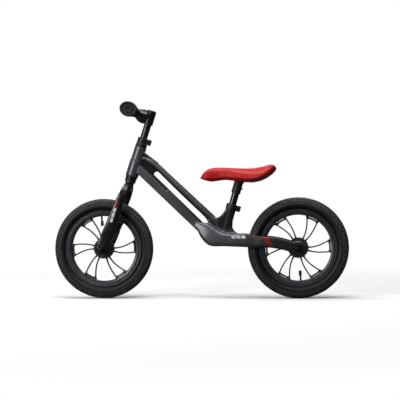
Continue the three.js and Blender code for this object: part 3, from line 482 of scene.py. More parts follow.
def band(tree, value, low, high, soft=0.0003):
    """1 between two values of a coordinate, falling to 0 outside over a soft edge."""
    rise = add_node(tree, "ShaderNodeMapRange", Value=value, From_Min=low - soft, From_Max=low + soft)
    fall = add_node(
        tree, "ShaderNodeMapRange", Value=value,
        From_Min=high - soft, From_Max=high + soft, To_Min=1.0, To_Max=0.0,
    )
    return add_node(
        tree, "ShaderNodeMath", {"operation": "MULTIPLY"}, _0=rise.outputs[0], _1=fall.outputs[0]
    ).outputs[0]


def painted_bars(tree, place, skin, bars, slope, least_side):
    """Plain slanted bars over a base colour: each is a span of x and of z, leaning by a slope, on outward
    faces.
    """
    x, y, z = add_node(tree, "ShaderNodeSeparateXYZ", Vector=place).outputs
    lean = add_node(tree, "ShaderNodeMath", {"operation": "MULTIPLY_ADD"}, _0=z, _1=slope[0], _2=x).outputs[0]
    rise = add_node(tree, "ShaderNodeMath", {"operation": "MULTIPLY_ADD"}, _0=x, _1=slope[1], _2=z).outputs[0]
    side = add_node(tree, "ShaderNodeMath", {"operation": "ABSOLUTE"}, _0=y).outputs[0]
    outward = band(tree, side, least_side, 1.0)
    for x0, x1, z0, z1, colour in bars:
        across = band(tree, lean, x0 * 0.001, x1 * 0.001)
        up = band(tree, rise, z0 * 0.001, z1 * 0.001)
        both = add_node(tree, "ShaderNodeMath", {"operation": "MULTIPLY"}, _0=across, _1=up).outputs[0]
        mask = add_node(tree, "ShaderNodeMath", {"operation": "MULTIPLY"}, _0=both, _1=outward).outputs[0]
        mix = add_node(tree, "ShaderNodeMix", {"data_type": "RGBA"}, Factor=mask, A=skin, B=linear(colour))
        skin = mix.outputs["Result"]
    return skin


def hex_of(values):
    """A colour property's three sRGB values as a hex string."""
    return "#" + "".join(f"{round(255 * v):02x}" for v in values)


FINISHES = {}


def finish(name):
    """The finishes are made once, on first use, from the sizes and colours in the panel."""
    if not FINISHES:
        make_finishes()
    return FINISHES[name]


def make_finishes():
    """Makes every finish.

    After the colour come roughness, metallic, grain, relief, blotch, shade and spread, the lengths in mm.
    """
    colours = bpy.context.scene.balance_bike_colours

    def frame_tint(tree, place, skin):
        """Painted shade in near-black as far as the painted_shade_and_darkening number says, which also
        darkens the seat tube's root and the rear of the stays; then the plain bars on the casting and the
        stays.
        """
        deep = add_node(tree, "ShaderNodeAttribute", {"attribute_name": "painted_shade_and_darkening"}).outputs["Fac"]
        # The near-black painted shade, mixed over the paint.
        skin = add_node(
            tree, "ShaderNodeMix", {"data_type": "RGBA"}, Factor=deep, A=skin, B=linear("#060607")
        ).outputs["Result"]
        bars = [
            (-193.5, -181.5, 181.5, 190.0, "#c6c8ca"), (-208.5, -196.5, 181.5, 190.0, "#c6c8ca"),
            (-223.5, -211.5, 181.5, 190.0, "#c6c8ca"), (-275.5, -229.0, 182.0, 184.5, "#5c1214"),
        ]
        skin = painted_bars(tree, place, skin, bars, (-0.45, 0.0), 0.026)
        flash = [(-294.5, -277.0, 100.0, 260.0, hex_of(colours.flash))]
        return painted_bars(tree, place, skin, flash, (-0.45, 0.0), 0.0445)

    def fork_tint(tree, place, skin):
        """Plain orange-red and white bars on the blades' outer faces."""
        bars = [
            (337.0, 347.0, 278.0, 299.0, hex_of(colours.flash)), (337.0, 345.0, 264.0, 277.0, "#cfd1d3"),
            (337.0, 345.0, 249.0, 262.0, "#cfd1d3"), (337.0, 345.0, 234.0, 247.0, "#cfd1d3"),
            (339.0, 346.0, 214.0, 219.0, "#4e1114"),
        ]
        return painted_bars(tree, place, skin, bars, (0.325, 0.0), 0.0545)

    def tread_tint(tree, place, skin):
        """Knob tops lighter grey, partly dust and partly painted highlight, and grooves left black."""
        top = add_node(tree, "ShaderNodeAttribute", {"attribute_name": "knob"}).outputs["Fac"]
        dust_and_glint = add_node(tree, "ShaderNodeTexNoise", Vector=place, Scale=420.0, Detail=2.0)
        share = add_node(tree, "ShaderNodeMapRange", Value=dust_and_glint.outputs["Fac"], From_Min=0.35, From_Max=0.65)
        amount = add_node(tree, "ShaderNodeMath", {"operation": "MULTIPLY"}, _0=top,
                          _1=share.outputs[0]).outputs[0]
        # Lighter knob tops: dust and painted highlight.
        mix = add_node(
            tree, "ShaderNodeMix", {"data_type": "RGBA"}, Factor=amount, A=skin, B=linear("#57585c")
        )
        return mix.outputs["Result"]

    make = surface_finish
    FINISHES.update(
        # Painted magnesium casting: satin, with the faint orange peel of powder paint over cast metal.
        # Its tint lays near-black painted shade in the recesses and under the upper beam, and darkens the
        # stays rearwards.
        paint=make("painted_magnesium", hex_of(colours.frame), 0.36, 0.45, 1.4, 0.025, 60, 0.10, 0.07,
                   coat=0.15, coat_roughness=0.3, tint=frame_tint),
        # Gloss enamel: deep black under a thin clear coat, so only lights and edges show.
        enamel=make("gloss_enamel", hex_of(colours.fork), 0.33, 0.0, 2.2, 0.004, 50, 0.10, 0.04,
                    coat=0.25, coat_roughness=0.2, specular=0.3, tint=fork_tint),
        # Powder-coated steel tube: even satin black with a very fine pebble.
        powder=make("powder_coated_steel", "#0f0f11", 0.32, 0.1, 0.9, 0.015, 40, 0.12, 0.08, coat=0.15,
                    coat_roughness=0.25),
        # Glass-filled nylon moulding: soft black with a dry, slightly streaky skin.
        nylon=make("moulded_nylon", "#2c2e33", 0.38, 0.0, 0.8, 0.04, 24, 0.14, 0.10, coat=0.1),
        # Textured plastic: spark-eroded mould finish, dull. Its 0.3 mm pits are drawn at 1.1 mm so that
        # they show.
        plastic=make("textured_abs", "#0f0f11", 0.48, 0.0, 0.6, 0.02, 18, 0.10, 0.08, cells=1.1),
        # Vulcanised tread rubber: dark grey, dull, its high spots lighter with dust and a painted glint.
        tread=make("tread_rubber", "#0b0b0d", 0.56, 0.0, 0.9, 0.06, 14, 0.22, 0.10, specular=0.35,
                   tint=tread_tint),
        # Butyl inner tube: thin smooth rubber with a talc bloom.
        butyl=make("butyl_rubber", "#18181a", 0.62, 0.0, 1.2, 0.03, 20, 0.16, 0.10),
        # Soft grip rubber: moulded with a fine grain so it never shines.
        grip=make("soft_grip_rubber", "#0d0d0f", 0.62, 0.0, 0.7, 0.03, 12, 0.14, 0.06, specular=0.35),
        # Zinc-plated steel: bright grey with turning marks and cloudy plating.
        zinc=make("zinc_plated_steel", "#b4b8bd", 0.30, 1.0, 0.5, 0.015, 7, 0.10, 0.08, rings=True),
        # Blackened steel: oxide black, slightly oily and cloudy, with fine turning marks.
        blackened=make("blackened_steel", "#1b1b1d", 0.36, 0.6, 0.6, 0.02, 5, 0.22, 0.10, rings=True),
        # Polyurethane skin over foam: red, satin gloss, with a fine leather grain pressed in. The real grain
        # is under 1 mm across, and is drawn at 1.7 mm so that it shows.
        cover=make("polyurethane_skin", hex_of(colours.saddle), 0.46, 0.0, 0.9, 0.012, 55, 0.08, 0.04,
                   cells=1.7, coat=0.03, coat_roughness=0.34, specular=0.2),
    )


# ---- Settings ----


class BikeColours(bpy.types.PropertyGroup):
    """The colours a user would change."""

    frame: FloatVectorProperty(
        name="Frame", description="Satin paint of the frame casting", subtype="COLOR_GAMMA", size=3,
        default=(0.3, 0.308, 0.326), min=0, max=1,
    )
    fork: FloatVectorProperty(
        name="Fork", description="Gloss enamel of the fork", subtype="COLOR_GAMMA", size=3,
        default=(0.035, 0.035, 0.042), min=0, max=1,
    )
    saddle: FloatVectorProperty(
        name="Saddle", description="Skin of the saddle cushion", subtype="COLOR_GAMMA", size=3,
        default=(0.64, 0.022, 0.03), min=0, max=1,
    )
    flash: FloatVectorProperty(
        name="Flash", description="Bars on the stays and the fork", subtype="COLOR_GAMMA", size=3,
        default=(0.47, 0.085, 0.08), min=0, max=1,
    )


class BikeSizes(bpy.types.PropertyGroup):
    """The sizes a user would change."""

    cell: FloatProperty(
        name="Casting skin", description="Cell size of the frame casting's skin", subtype="DISTANCE",
        unit="LENGTH", default=0.0017, min=0.001, max=0.004,
    )
    knobs: IntProperty(name="Tread knobs", description="Knobs round each tyre", default=120, min=80, max=240)
    knob_height: FloatProperty(
        name="Knob height", description="Height of the tread's knobs", subtype="DISTANCE", unit="LENGTH",
        default=0.0022, min=0.0, max=0.003,
    )
    saddle_swell: FloatProperty(
        name="Saddle swell", description="Most that the saddle's skin may rise", subtype="DISTANCE",
        unit="LENGTH", default=0.002, min=0.0, max=0.006,
    )


# ---- Frame ----

# Stations of the rear casting and one stay: top x, z, bottom x, z, outer y, inner y.
STAY_ROWS = [
    (10, 240, 21, 218, 15.4, -8), (-2, 231.4, 8.4, 206.6, 20.6, -8), (-23, 228, -2, 187, 26, -8),
    (-40, 218, -14, 172, 30, -8), (-63, 204, -34, 159, 32.5, -8), (-83, 197.5, -75, 158, 34, -8),
    (-104, 196.8, -98, 157, 35.5, -8), (-124, 196.6, -122, 156, 37, -8), (-133, 196.4, -132, 156, 38, 6),
    (-140, 195.6, -139, 155.5, 39, 25), (-150, 194, -150, 155, 40.2, 28.6),
    (-168, 190.6, -168, 154, 43, 29.5), (-192, 188.6, -192, 153.8, 47.5, 31.5),
    (-218, 187, -218, 153.5, 50.5, 37), (-250, 181, -252, 147.5, 52, 45), (-275, 174, -274, 141, 52, 45),
    (-292, 169, -290, 136.5, 52, 45),
]
# Stations of the upper beam, from its tip at the head tube back to the seat tube.
BEAM_ROWS = [
    (183, 434, 183, 428.5, 11.6, -11.6), (166, 432, 163, 413, 13, -13), (151, 427.5, 147, 400, 14, -14),
    (130, 414.8, 131, 389, 14.5, -14.5), (94.6, 381.5, 106, 364.2, 14.5, -14.5),
    (58.9, 347.9, 74.2, 332.5, 14.5, -14.5), (9.5, 301.4, 25.4, 284.9, 14.5, -14.5),
    (-31, 263.4, -14.4, 246.5, 14.5, -14.5), (-51.5, 244, -27, 226, 14.5, -14.5),
    (-66, 231, -42, 203, 14.5, -14.5),
]
# Outlines, as (forwards, up): the lower beam, the thin web between the beams, the rib along the web's top,
# and the root that the seat tube grows out of.
LOWER_BEAM = [
    (193, 383.6), (185.5, 407), (178, 401), (146.2, 372.4), (99.4, 326.8), (96.6, 330.2), (0.8, 235.4),
    (-16.5, 212.5), (1.5, 199.5),
]
WEB = [
    (181, 451), (150, 430), (120.8, 394), (129.2, 387.3), (134.2, 386.4), (138.6, 384.2), (141.3, 381),
    (140.9, 377.4), (92.6, 330.0), (-2, 237), (-14, 226), (10, 222), (110, 322), (192, 386), (186, 420),
]
RIB = [(184, 457.5), (128, 414.6), (130.5, 411.2), (184, 452.5)]
SEAT_ROOT = [
    (-22, 237), (-36, 251), (-51.5, 244.5), (-61, 248.6), (-69, 256.3), (-75, 264.2), (-80.5, 274.5),
    (-82.5, 284), (-97, 284), (-104.5, 262), (-99, 236), (-98, 213), (-106, 202), (-118, 196), (-128.5, 186),
    (-40.5, 192.5),
]


class MESH_OT_bike_frame(bpy.types.Operator):
    """Build the frame casting: tubes, beams, web and stays run into one skin, then bored"""

    bl_idname = "mesh.bike_frame"
    bl_label = "Frame casting"

    def execute(self, context):
        stay = side_loft(STAY_ROWS, 3.6, 40, 90)
        other = (stay[0] * (1, -1, 1), stay[1])
        dropout = turned(
            [(0, 45), (18.2, 45), (19, 45.8), (19, 51.4), (18.4, 52), (15.6, 52), (15.0, 50.4), (12.4, 50.4),
             (11.8, 52), (0, 52)], 72, wrap=False,
        )
        ends = [at(on_axle(AXLES["rear"], s), dropout) for s in (1, -1)]
        sleeve = [(0, 236.1), (18.7, 236.1), (19.5, 236.9), (19.5, 286.5), (18.2, 288.6), (0, 288.6)]
        body = shaped("frame_casting", together(
            at(at_head, rod(18.0, 236.1, 332.1, 1.0)),
            at(at_head, turned(sleeve, 72, wrap=False)),
            at(at_seat, rod(14.6, 26, 138, 1.0)),
            side_loft(BEAM_ROWS, 2.15, 48, 120),
            side_plate(LOWER_BEAM, 16.5, 2.4),
            side_plate(WEB, 8.5, 0.6),
            side_plate(RIB, 13.0, 1.2),
            side_plate(SEAT_ROOT, 13.6, 5.0, 4),
            stay, other, *ends,
        ))
        cast(body, context.scene.balance_bike_sizes.cell * 1000.0, 5)
        carve(body, cut=[
            at(at_head, drill(15.4, 230, 340, 72)),
            at(at_seat, drill(TUBE_BORE, 28, 145, 72)),
            at(at_seat, saw(119.5, 140)),
            at(on_axle(AXLES["rear"]), drill(AXLE_BORE, -60, 60, 48)),
        ])
        # Painted shade, laid in black: in the slot's recess, along the lower beam's upper edge and under the
        # upper beam.
        # The seat tube's root and the stays, towards the rear, are made darker too. The two lines are the
        # upper beam's top and the lower beam's edge.
        x, y, z = points_of(body.data).T
        top_line = 451.8 + (x - 169.3) * 0.9411
        between = (x > -20) & (x < 178) & (z < top_line - 3) & (z > 199)
        shallow = 1 - fade(np.abs(y), 9.4, 11.6)
        edge_line = 235.4 + (x - 0.8) * 0.9896
        on_edge = (x > -6) & (x < 100) & (np.abs(y) > 9) & (z < edge_line + 4)
        # Painted shade along the lower beam's upper edge.
        ledge_shade = 0.8 * fade(z - edge_line, -5.5, -3.0) * on_edge
        # Painted shade, darker towards the upper beam's lower edge.
        under_beam_shade = 0.75 * fade(top_line - z, 11, 25) * ((top_line - z < 31) & (x > -50) & (x < 172))
        # Darker on the seat tube's root above the upper beam.
        stub = 0.85 * fade(z, 200, 216) * fade(z - top_line, -26, -14) * fade(-x, 50, 58) * (x > -130)
        # Darker towards the rear of the stays.
        rear = 0.78 * fade(-x, 90, 190)
        # Painted shade in the slot's recess between the beams.
        deep = np.where(between, shallow, 0)
        add_weight(body.data, "painted_shade_and_darkening",
                   np.clip(np.maximum.reduce([deep, ledge_shade, under_beam_shade, stub, rear]), 0, 1))
        finish_piece(body, "paint", "frame", 40)
        return {"FINISHED"}


# ---- Fork ----

# The fork's centreline from a dropout up to the crown: side, height, thickness, back edge, front edge.
FORK_ROWS = [
    (48.5, -12, 6.6, 6, 24), (48.5, 0, 6.8, -1, 31), (48.5, 20, 7, -5, 31), (48.6, 36, 7.4, -7, 29.6),
    (50.4, 56, 9.6, -8, 27.2), (51.4, 76, 11, -7.6, 25.2), (51.5, 100, 11, -7, 22.8),
    (51.5, 125, 11, -7, 20.2), (51.5, 148, 11.6, -8, 17.8), (51, 164, 13, -9.2, 16),
    (47.4, 179, 16.4, -10, 13.4), (38.5, 192.5, 19.6, -10.6, 11.8), (24, 201.5, 21.8, -11, 11.2),
    (10, 205.4, 23, -11.4, 11.8), (0, 206.2, 23.4, -11.5, 12),
]


def fork_arms():
    """Both blades and the crown as one bent bar.

    Its line runs up one blade, over the crown and down the other. Each section is a superellipse across the
    line's own normal and along the fore-and-aft direction.
    """
    half = np.array(FORK_ROWS, float)
    rows = smooth_rows(np.vstack([half, half[:-1][::-1] * (-1, 1, 1, 1, 1)]), 240)
    line = rows[:, :2]
    along = np.gradient(line, axis=0)
    along /= np.linalg.norm(along, axis=1, keepdims=True)
    across = np.stack([along[:, 1], -along[:, 0]], -1)
    a, b = rounded_ring(1, 1, 3.2, 48)
    offset = across[:, None, :] * (rows[:, 2, None, None] / 2 * a[None, :, None])
    ahead = (rows[:, 3:4] + rows[:, 4:5]) / 2 + (rows[:, 4:5] - rows[:, 3:4]) / 2 * b[None, :]
    side_up = line[:, None, :] + offset
    return loft(np.stack([ahead, side_up[..., 0], side_up[..., 1]], -1))


class MESH_OT_bike_fork(bpy.types.Operator):
    """Build the fork: a bent bar of two blades and a crown, with its steerer and dropouts"""

    bl_idname = "mesh.bike_fork"
    bl_label = "Fork"

    def execute(self, context):
        dropout = turned(
            [(0, 45), (17.2, 45), (18, 45.8), (18, 51.2), (17.2, 52), (14.8, 52), (14.2, 50.6), (12.2, 50.6),
             (11.6, 52), (0, 52)], 96, wrap=False,
        )
        ends = [at(lambda p, s=s: about_y(p, 15.0, 0.0) * (1, s, 1), dropout) for s in (1, -1)]
        fork = shaped("fork_forging", at(at_head, fork_arms()))
        carve(
            fork,
            add=[at(at_head, e) for e in ends] + [at(at_head, rod(13.6, 204, 357.7, 0.6, 96))],
            cut=[
                at(at_head, drill(TUBE_BORE, 200, 365, 96)),
                at(at_head, saw(340.5, 360)),
                at(on_axle(AXLES["front"]), drill(AXLE_BORE, -60, 60, 48)),
            ],
        )
        finish_piece(fork, "enamel", "fork", 32)
        return {"FINISHED"}


# ---- Wheels ----


# Half the tread's width along its skin, the pitch of its rows of knobs, and grid columns for each knob.
TREAD_HALF, KNOB_ROW, KNOB_COLUMNS = 34.0, 7.8, 8


def tyre(knobs, knob_height):
    """A hollow tyre with moulded knobs.

    The section runs from one bead over the tread to the other and back inside. Over the tread a knob's height
    is the product of two flat-topped waves, one round the wheel and one across it, each second row set over
    by half.
    """
    outside = [
        (106.3, 11.9), (112, 11.9), (117.6, 12.0), (119.4, 15.2), (122.5, 19.0), (127.5, 21.6), (132.0, 22.0),
        (138.5, 21.3), (144.2, 18.8), (148.6, 14.4), (151.4, 8.0), (152.5, 0),
    ]
    half = smooth_rows(outside, 48)
    skin = np.vstack([half, half[:-1][::-1] * (1, -1)])
    inside = [(106.3, -7.4), (118.1, -7.4), (128, -17.5), (142, -15), (148, -6), (148, 6), (142, 15),
              (128, 17.5), (118.1, 7.4), (106.3, 7.4)]
    columns = knobs * KNOB_COLUMNS
    radius, side = skin.T
    step = np.hypot(np.diff(radius), np.diff(side))
    travel = np.concatenate([[0], np.cumsum(step)])
    travel -= travel[-1] / 2
    walls = skin[np.abs(travel) > TREAD_HALF + 1]
    low, high = walls[walls[:, 1] > 0], walls[walls[:, 1] < 0]
    kept = np.unique(np.r_[0 : len(low) : 2, len(low) - 1])
    low, high = low[kept], high[len(high) - 1 - kept[::-1]]
    across = np.linspace(-1, 1, 61) * TREAD_HALF
    tread = np.stack([np.interp(across, travel, radius), np.interp(across, travel, side)], -1)
    angle = round_angles(columns)
    rows_out = across / KNOB_ROW + 0.5
    row = np.floor(rows_out).astype(int)
    wave_across = fade(np.abs(rows_out % 1 - 0.5), 0.5, 0.34)
    place = (np.arange(columns) / KNOB_COLUMNS)[None, :] + 0.5 * (row % 2)[:, None]
    wave_round = fade(np.abs(place % 1 - 0.5), 0.5, 0.22)
    edge = fade(np.abs(across), TREAD_HALF, TREAD_HALF - 4)
    knob = wave_across[:, None] * wave_round * edge[:, None]
    normal = np.stack([np.gradient(tread[:, 1]), -np.gradient(tread[:, 0])], -1)
    normal /= np.linalg.norm(normal, axis=1, keepdims=True)
    normal *= np.sign(np.sum(normal * (tread - (130, 0)), 1, keepdims=True))
    sunk = tread[:, None, :] - normal[:, None, :] * (knob_height * (1 - knob) * edge[:, None])[..., None]
    plain = [np.repeat(rows[:, None, :], columns, 1) for rows in (low, high, np.array(inside, float))]
    section = np.concatenate([plain[0], sunk, plain[1], plain[2]], 0)
    r, y = section[..., 0], section[..., 1]
    tops = np.concatenate([np.zeros_like(plain[0][..., 0]), knob, np.zeros_like(plain[1][..., 0]),
                           np.zeros_like(plain[2][..., 0])], 0)
    return grid(np.stack([r * np.cos(angle), r * np.sin(angle), y], -1), wrap_rows=True), tops.ravel()


def curved_spoke(at_rim, sweep):
    """One curved spoke, its radius falling evenly from the rim to the hub.

    Its angle = rim angle + sweep (0.45 sin(90 t) + 0.55 (1 - cos(180 t)) / 2), in degrees. Its thickness
    flares where it leaves the rim and where it meets the hub.
    """
    t = np.linspace(0, 1, 44)
    swing = 0.45 * np.sin(t * np.pi / 2) + 0.275 * (1 - np.cos(t * np.pi))
    angle = np.radians(at_rim + sweep * swing)
    radius = 103.0 - 76.0 * t
    line = np.stack([radius * np.cos(angle), radius * np.sin(angle)], -1)
    along = np.gradient(line, axis=0)
    along /= np.linalg.norm(along, axis=1, keepdims=True)
    across = np.stack([-along[:, 1], along[:, 0]], -1)
    thick = 2.1 + 2.6 * np.exp(-(((t - 0.03) / 0.07) ** 2)) + 1.2 * np.exp(-(((t - 1) / 0.12) ** 2))
    deep = 4.5 + 2.5 * np.exp(-((t / 0.12) ** 2)) + 1.5 * np.exp(-(((t - 1) / 0.15) ** 2))
    a, b = rounded_ring(1, 1, 2.8, 20)
    flat = line[:, None, :] + across[:, None, :] * (thick[:, None] * a[None, :])[..., None]
    return loft(np.stack([flat[..., 0], flat[..., 1], deep[:, None] * b[None, :]], -1))


def root_bar(middle):
    """The thin curved bar that ties a pair of spokes just inside the rim, thicker where it meets them."""
    t = np.linspace(0, 1, 30)
    angle = np.radians(middle - 8.6 + 21.4 * t)
    half = 2.8 + 1.8 * np.exp(-((t / 0.14) ** 2)) + 1.8 * np.exp(-(((1 - t) / 0.14) ** 2))
    a, b = rounded_ring(1, 1, 2.8, 20)
    radius = 95.2 - 0.5 * (half[:, None] - 2.8) + half[:, None] * a[None, :]
    flat = np.stack([radius * np.cos(angle)[:, None], radius * np.sin(angle)[:, None]], -1)
    return loft(np.stack([flat[..., 0], flat[..., 1], np.tile(4.5 * b, (len(t), 1))], -1))


# The valve stands at 266 degrees round the wheel, almost straight down.
VALVE_ANGLE = math.radians(266.0)
# The rim's section, one half: a lip, a groove, a ridge and a rounded inner edge.
RIM_HALF = [
    (106.0, 0), (106.0, 12.2), (117.4, 12.2), (117.5, 14.4), (116.9, 15), (115.4, 15), (114.6, 13.8),
    (112.2, 13.4), (111.2, 14.2), (109.6, 14.4), (108.6, 13.6), (107.6, 12.2), (103.6, 11.6), (101.0, 10.2),
    (99.4, 7.6), (99, 5.0), (99, 0),
]


def moulded_wheel():
    """Rim, twelve spokes, six root bars and hub, as separate closed surfaces about the wheel's own axis."""
    half = np.array(RIM_HALF, float)
    rim = turned(np.vstack([half, half[1:-1][::-1] * (1, -1)]), 240)
    middles = 56.0 + 60.0 * np.arange(6)
    spokes = [curved_spoke(m - 10.5, 12.5) for m in middles] + [curved_spoke(m + 10.5, 9.5) for m in middles]
    bars = [root_bar(m) for m in middles]
    side = [(17, 30), (16.4, 30), (17, 29.2), (17, 12), (19.5, 9.8), (24, 9.2), (24.6, 8.2), (27.6, 8.2),
            (28.2, 9.0), (30.2, 9.0), (31, 8.2)]
    hub = [(0, 30)] + side + [(r, -h) for r, h in reversed(side)] + [(0, -30)]
    return rim, spokes + bars, turned(hub, 96, wrap=False)


class MESH_OT_bike_wheels(bpy.types.Operator):
    """Build both wheels: tyres, tubes, rims with curved spokes, bearings, sleeves and valves"""

    bl_idname = "mesh.bike_wheels"
    bl_label = "Wheels"

    def execute(self, context):
        sizes = context.scene.balance_bike_sizes
        rubber, tops = tyre(sizes.knobs, sizes.knob_height * 1000.0)
        rim, arms, hub = moulded_wheel()
        cos, sin = math.cos(VALVE_ANGLE), math.sin(VALVE_ANGLE)
        for side, x in AXLES.items():
            half_turn = -1 if side == "front" else 1

            def wheel_place(p, x=x, s=half_turn):
                """Points about the wheel's own axis set on its axle, the front wheel turned half round."""
                a, b, y = p.T
                return np.stack([x + s * a, y, AXLE_Z + s * b], -1)

            def from_centre(p, place=wheel_place):
                """Height runs out from the wheel's centre towards the valve."""
                a, b, out = p.T
                return place(np.stack([out * cos - a * sin, out * sin + a * cos, b], -1))

            tread = shaped(f"{side}_tread_tyre", at(wheel_place, rubber))
            add_weight(tread.data, "knob", tops)
            finish_piece(tread, "tread", f"{side}_tyre", 50)
            ring_angle = round_angles(24)
            air = np.stack([134.9 + 12.4 * np.cos(ring_angle), 12.4 * np.sin(ring_angle)], -1)
            piece_of(f"{side}_air_tube", at(wheel_place, turned(air, 120)), "butyl", f"{side}_inner_tube",
                     60)
            wheel = shaped(f"{side}_moulded_wheel", at(wheel_place, rim))
            cuts = [(0, -31), (13.3, -31), (13.3, -21.7), (10.5, -21.7), (10.5, 21.7), (13.3, 21.7),
                    (13.3, 31), (0, 31)]
            carve(
                wheel,
                add=[at(wheel_place, arm) for arm in arms] + [at(wheel_place, hub)],
                cut=[at(wheel_place, turned(cuts, 72, wrap=False)),
                     at(from_centre, rod(3.05, 96, 112, 0.1, 24))],
            )
            finish_piece(wheel, "nylon", f"{side}_rim", 30)
            for hand, s in HANDS:
                ring = [(5.3, 22), (8.0, 22), (8.2, 22.5), (10.6, 22.5), (10.8, 22), (13, 22), (13, 30),
                        (10.8, 30), (10.6, 29.3), (8.2, 29.3), (8.0, 30), (5.3, 30)]
                race, race_faces = turned(eased(ring, 0.25, 2), 64)
                piece_of(f"{side}_ball_bearing_{hand}", (wheel_place(race * (1, 1, s)), race_faces),
                         "zinc", f"{side}_hub_bearing_{hand}")
            piece_of(f"{side}_bearing_sleeve", at(wheel_place, tube(7.7, 5.3, -21.7, 21.7)), "zinc",
                     f"{side}_hub_sleeve")
            piece_of(f"{side}_valve_tube", at(from_centre, rod(2.75, 72.3, 128.6, 0.4, 32)), "butyl",
                     f"{side}_valve_stem")
            rows = [(0, 69), (3.4, 69), (4.3, 70), (4.5, 71.5), (4.5, 82.6), (4.2, 84), (3.05, 84),
                    (3.05, 72)]
            cap, cap_faces = turned(rows + [(0, 72)], 48, wrap=False)
            a, b, height = cap.T
            outside = (height > 71) & (height < 83.5) & (np.hypot(a, b) > 4.2)
            groove = 0.05 * ((np.cos(12 * np.arctan2(b, a)) > 0) & outside)
            cap = cap * np.stack([1 - groove, 1 - groove, np.ones_like(groove)], -1)
            piece_of(f"{side}_dust_cap", (from_centre(cap), cap_faces), "plastic",
                     f"{side}_valve_cap")
        return {"FINISHED"}


# ---- Axles, headset, clamps and handlebar ----


class MESH_OT_bike_axles(bpy.types.Operator):
    """Build both axles with their spacers, washers and nuts"""

    bl_idname = "mesh.bike_axles"
    bl_label = "Axles"

    def execute(self, context):
        for side, x in AXLES.items():
            turns = np.arange(-64.7, 64.71, 0.55)
            thread = [(0, -64.7)] + [
                (5.0 - 0.35 * (i % 2) * (abs(h) > 47) - 0.8 * (abs(h) > 64.3), h) for i, h in enumerate(turns)
            ] + [(0, 64.7)]
            piece_of(f"{side}_threaded_axle", at(on_axle(x), turned(thread, 32, wrap=False)), "blackened",
                     f"{side}_axle", 60)
            for hand, s in HANDS:
                piece_of(f"{side}_spacer_sleeve_{hand}", at(on_axle(x, s), tube(7.7, 5.3, 30.3, 44.7)),
                         "zinc", f"{side}_axle_spacer_{hand}")
                piece_of(f"{side}_flat_washer_{hand}", at(on_axle(x, s), tube(10.5, 5.3, 52.3, 53.9, 0.35)),
                         "blackened", f"{side}_axle_washer_{hand}")
                piece_of(f"{side}_hexagon_nut_{hand}", at(on_axle(x, s), nut(15, 10.6, 54.2, 62.2)),
                         "blackened", f"{side}_axle_nut_{hand}")
        return {"FINISHED"}


class MESH_OT_bike_headset(bpy.types.Operator):
    """Build the headset: two pressed cups, their bearings, the crown race and the top cap"""

    bl_idname = "mesh.bike_headset"
    bl_label = "Headset"

    def execute(self, context):
        lower = [(13.9, 243.8), (15.1, 243.8), (15.1, 235.8), (18, 235.8), (18, 233.6), (17.2, 232.8),
                 (17.2, 228), (18, 227.4), (18, 226.8), (16.8, 226.8), (16.8, 234.3), (13.9, 234.3)]
        upper = [(13.9, 324.4), (15.1, 324.4), (15.1, 332.4), (18, 332.4), (18, 334.2), (17.3, 334.8),
                 (17.3, 337.4), (18, 338), (18, 338.9), (16.8, 338.9), (16.8, 333.9), (13.9, 333.9)]
        race = [(13.9, 218.3), (17.5, 218.3), (17.5, 220.2), (16.6, 221.2), (16.5, 226.2), (13.9, 226.2)]
        cap = [(13.9, 339.2), (17.5, 339.2), (17.5, 340.2), (16.6, 341.4), (13.9, 341.4)]
        table = [
            ("headset_lower_shell", lower, "blackened", "headset_cup_lower", "black_steel"),
            ("headset_upper_shell", upper, "blackened", "headset_cup_upper", "black_steel"),
            ("headset_race_ring", race, "blackened", "headset_crown_race", "black_steel"),
            ("headset_dust_cap", cap, "plastic", "headset_top_cap", "black_plastic"),
            ("headset_lower_balls", [(13.9, 226.8), (16.5, 226.8), (16.5, 234), (13.9, 234)], "zinc",
             "headset_bearing_lower", "bright_steel"),
            ("headset_upper_balls", [(13.9, 334.2), (16.5, 334.2), (16.5, 338.9), (13.9, 338.9)], "zinc",
             "headset_bearing_upper", "bright_steel"),
        ]
        for name, profile, kind, node, slot in table:
            piece_of(name, at(at_head, turned(eased(profile, 0.3, 2), 96)), kind, node)
        return {"FINISHED"}


def clamp_outline(bore, wall=2.6, lug=9.5, lug_half=9.0, slit=1.2):
    """A split ring with two lugs behind it, as one closed outline.

    It runs round the bore, out along the slit, round the lugs and the ring's outside, and back to the slit.
    """
    outer = bore + wall
    opening = math.asin(slit / bore)
    inner = np.linspace(-np.pi + opening, np.pi - opening, 60)
    meet = math.pi - math.asin(min(lug_half / outer, 1.0))
    ring = np.linspace(meet, -meet, 48)
    reach = -(outer + lug)
    corner = np.linspace(0, np.pi / 2, 6)
    lug_top = np.stack([reach + 2 - 2 * np.sin(corner), lug_half - 2 + 2 * np.cos(corner)], -1)[::-1]
    return np.vstack([
        np.stack([bore * np.cos(inner), bore * np.sin(inner)], -1),
        [(reach, slit)], lug_top,
        np.stack([outer * np.cos(ring), outer * np.sin(ring)], -1),
        (lug_top * (1, -1))[::-1], [(reach, -slit)],
    ])


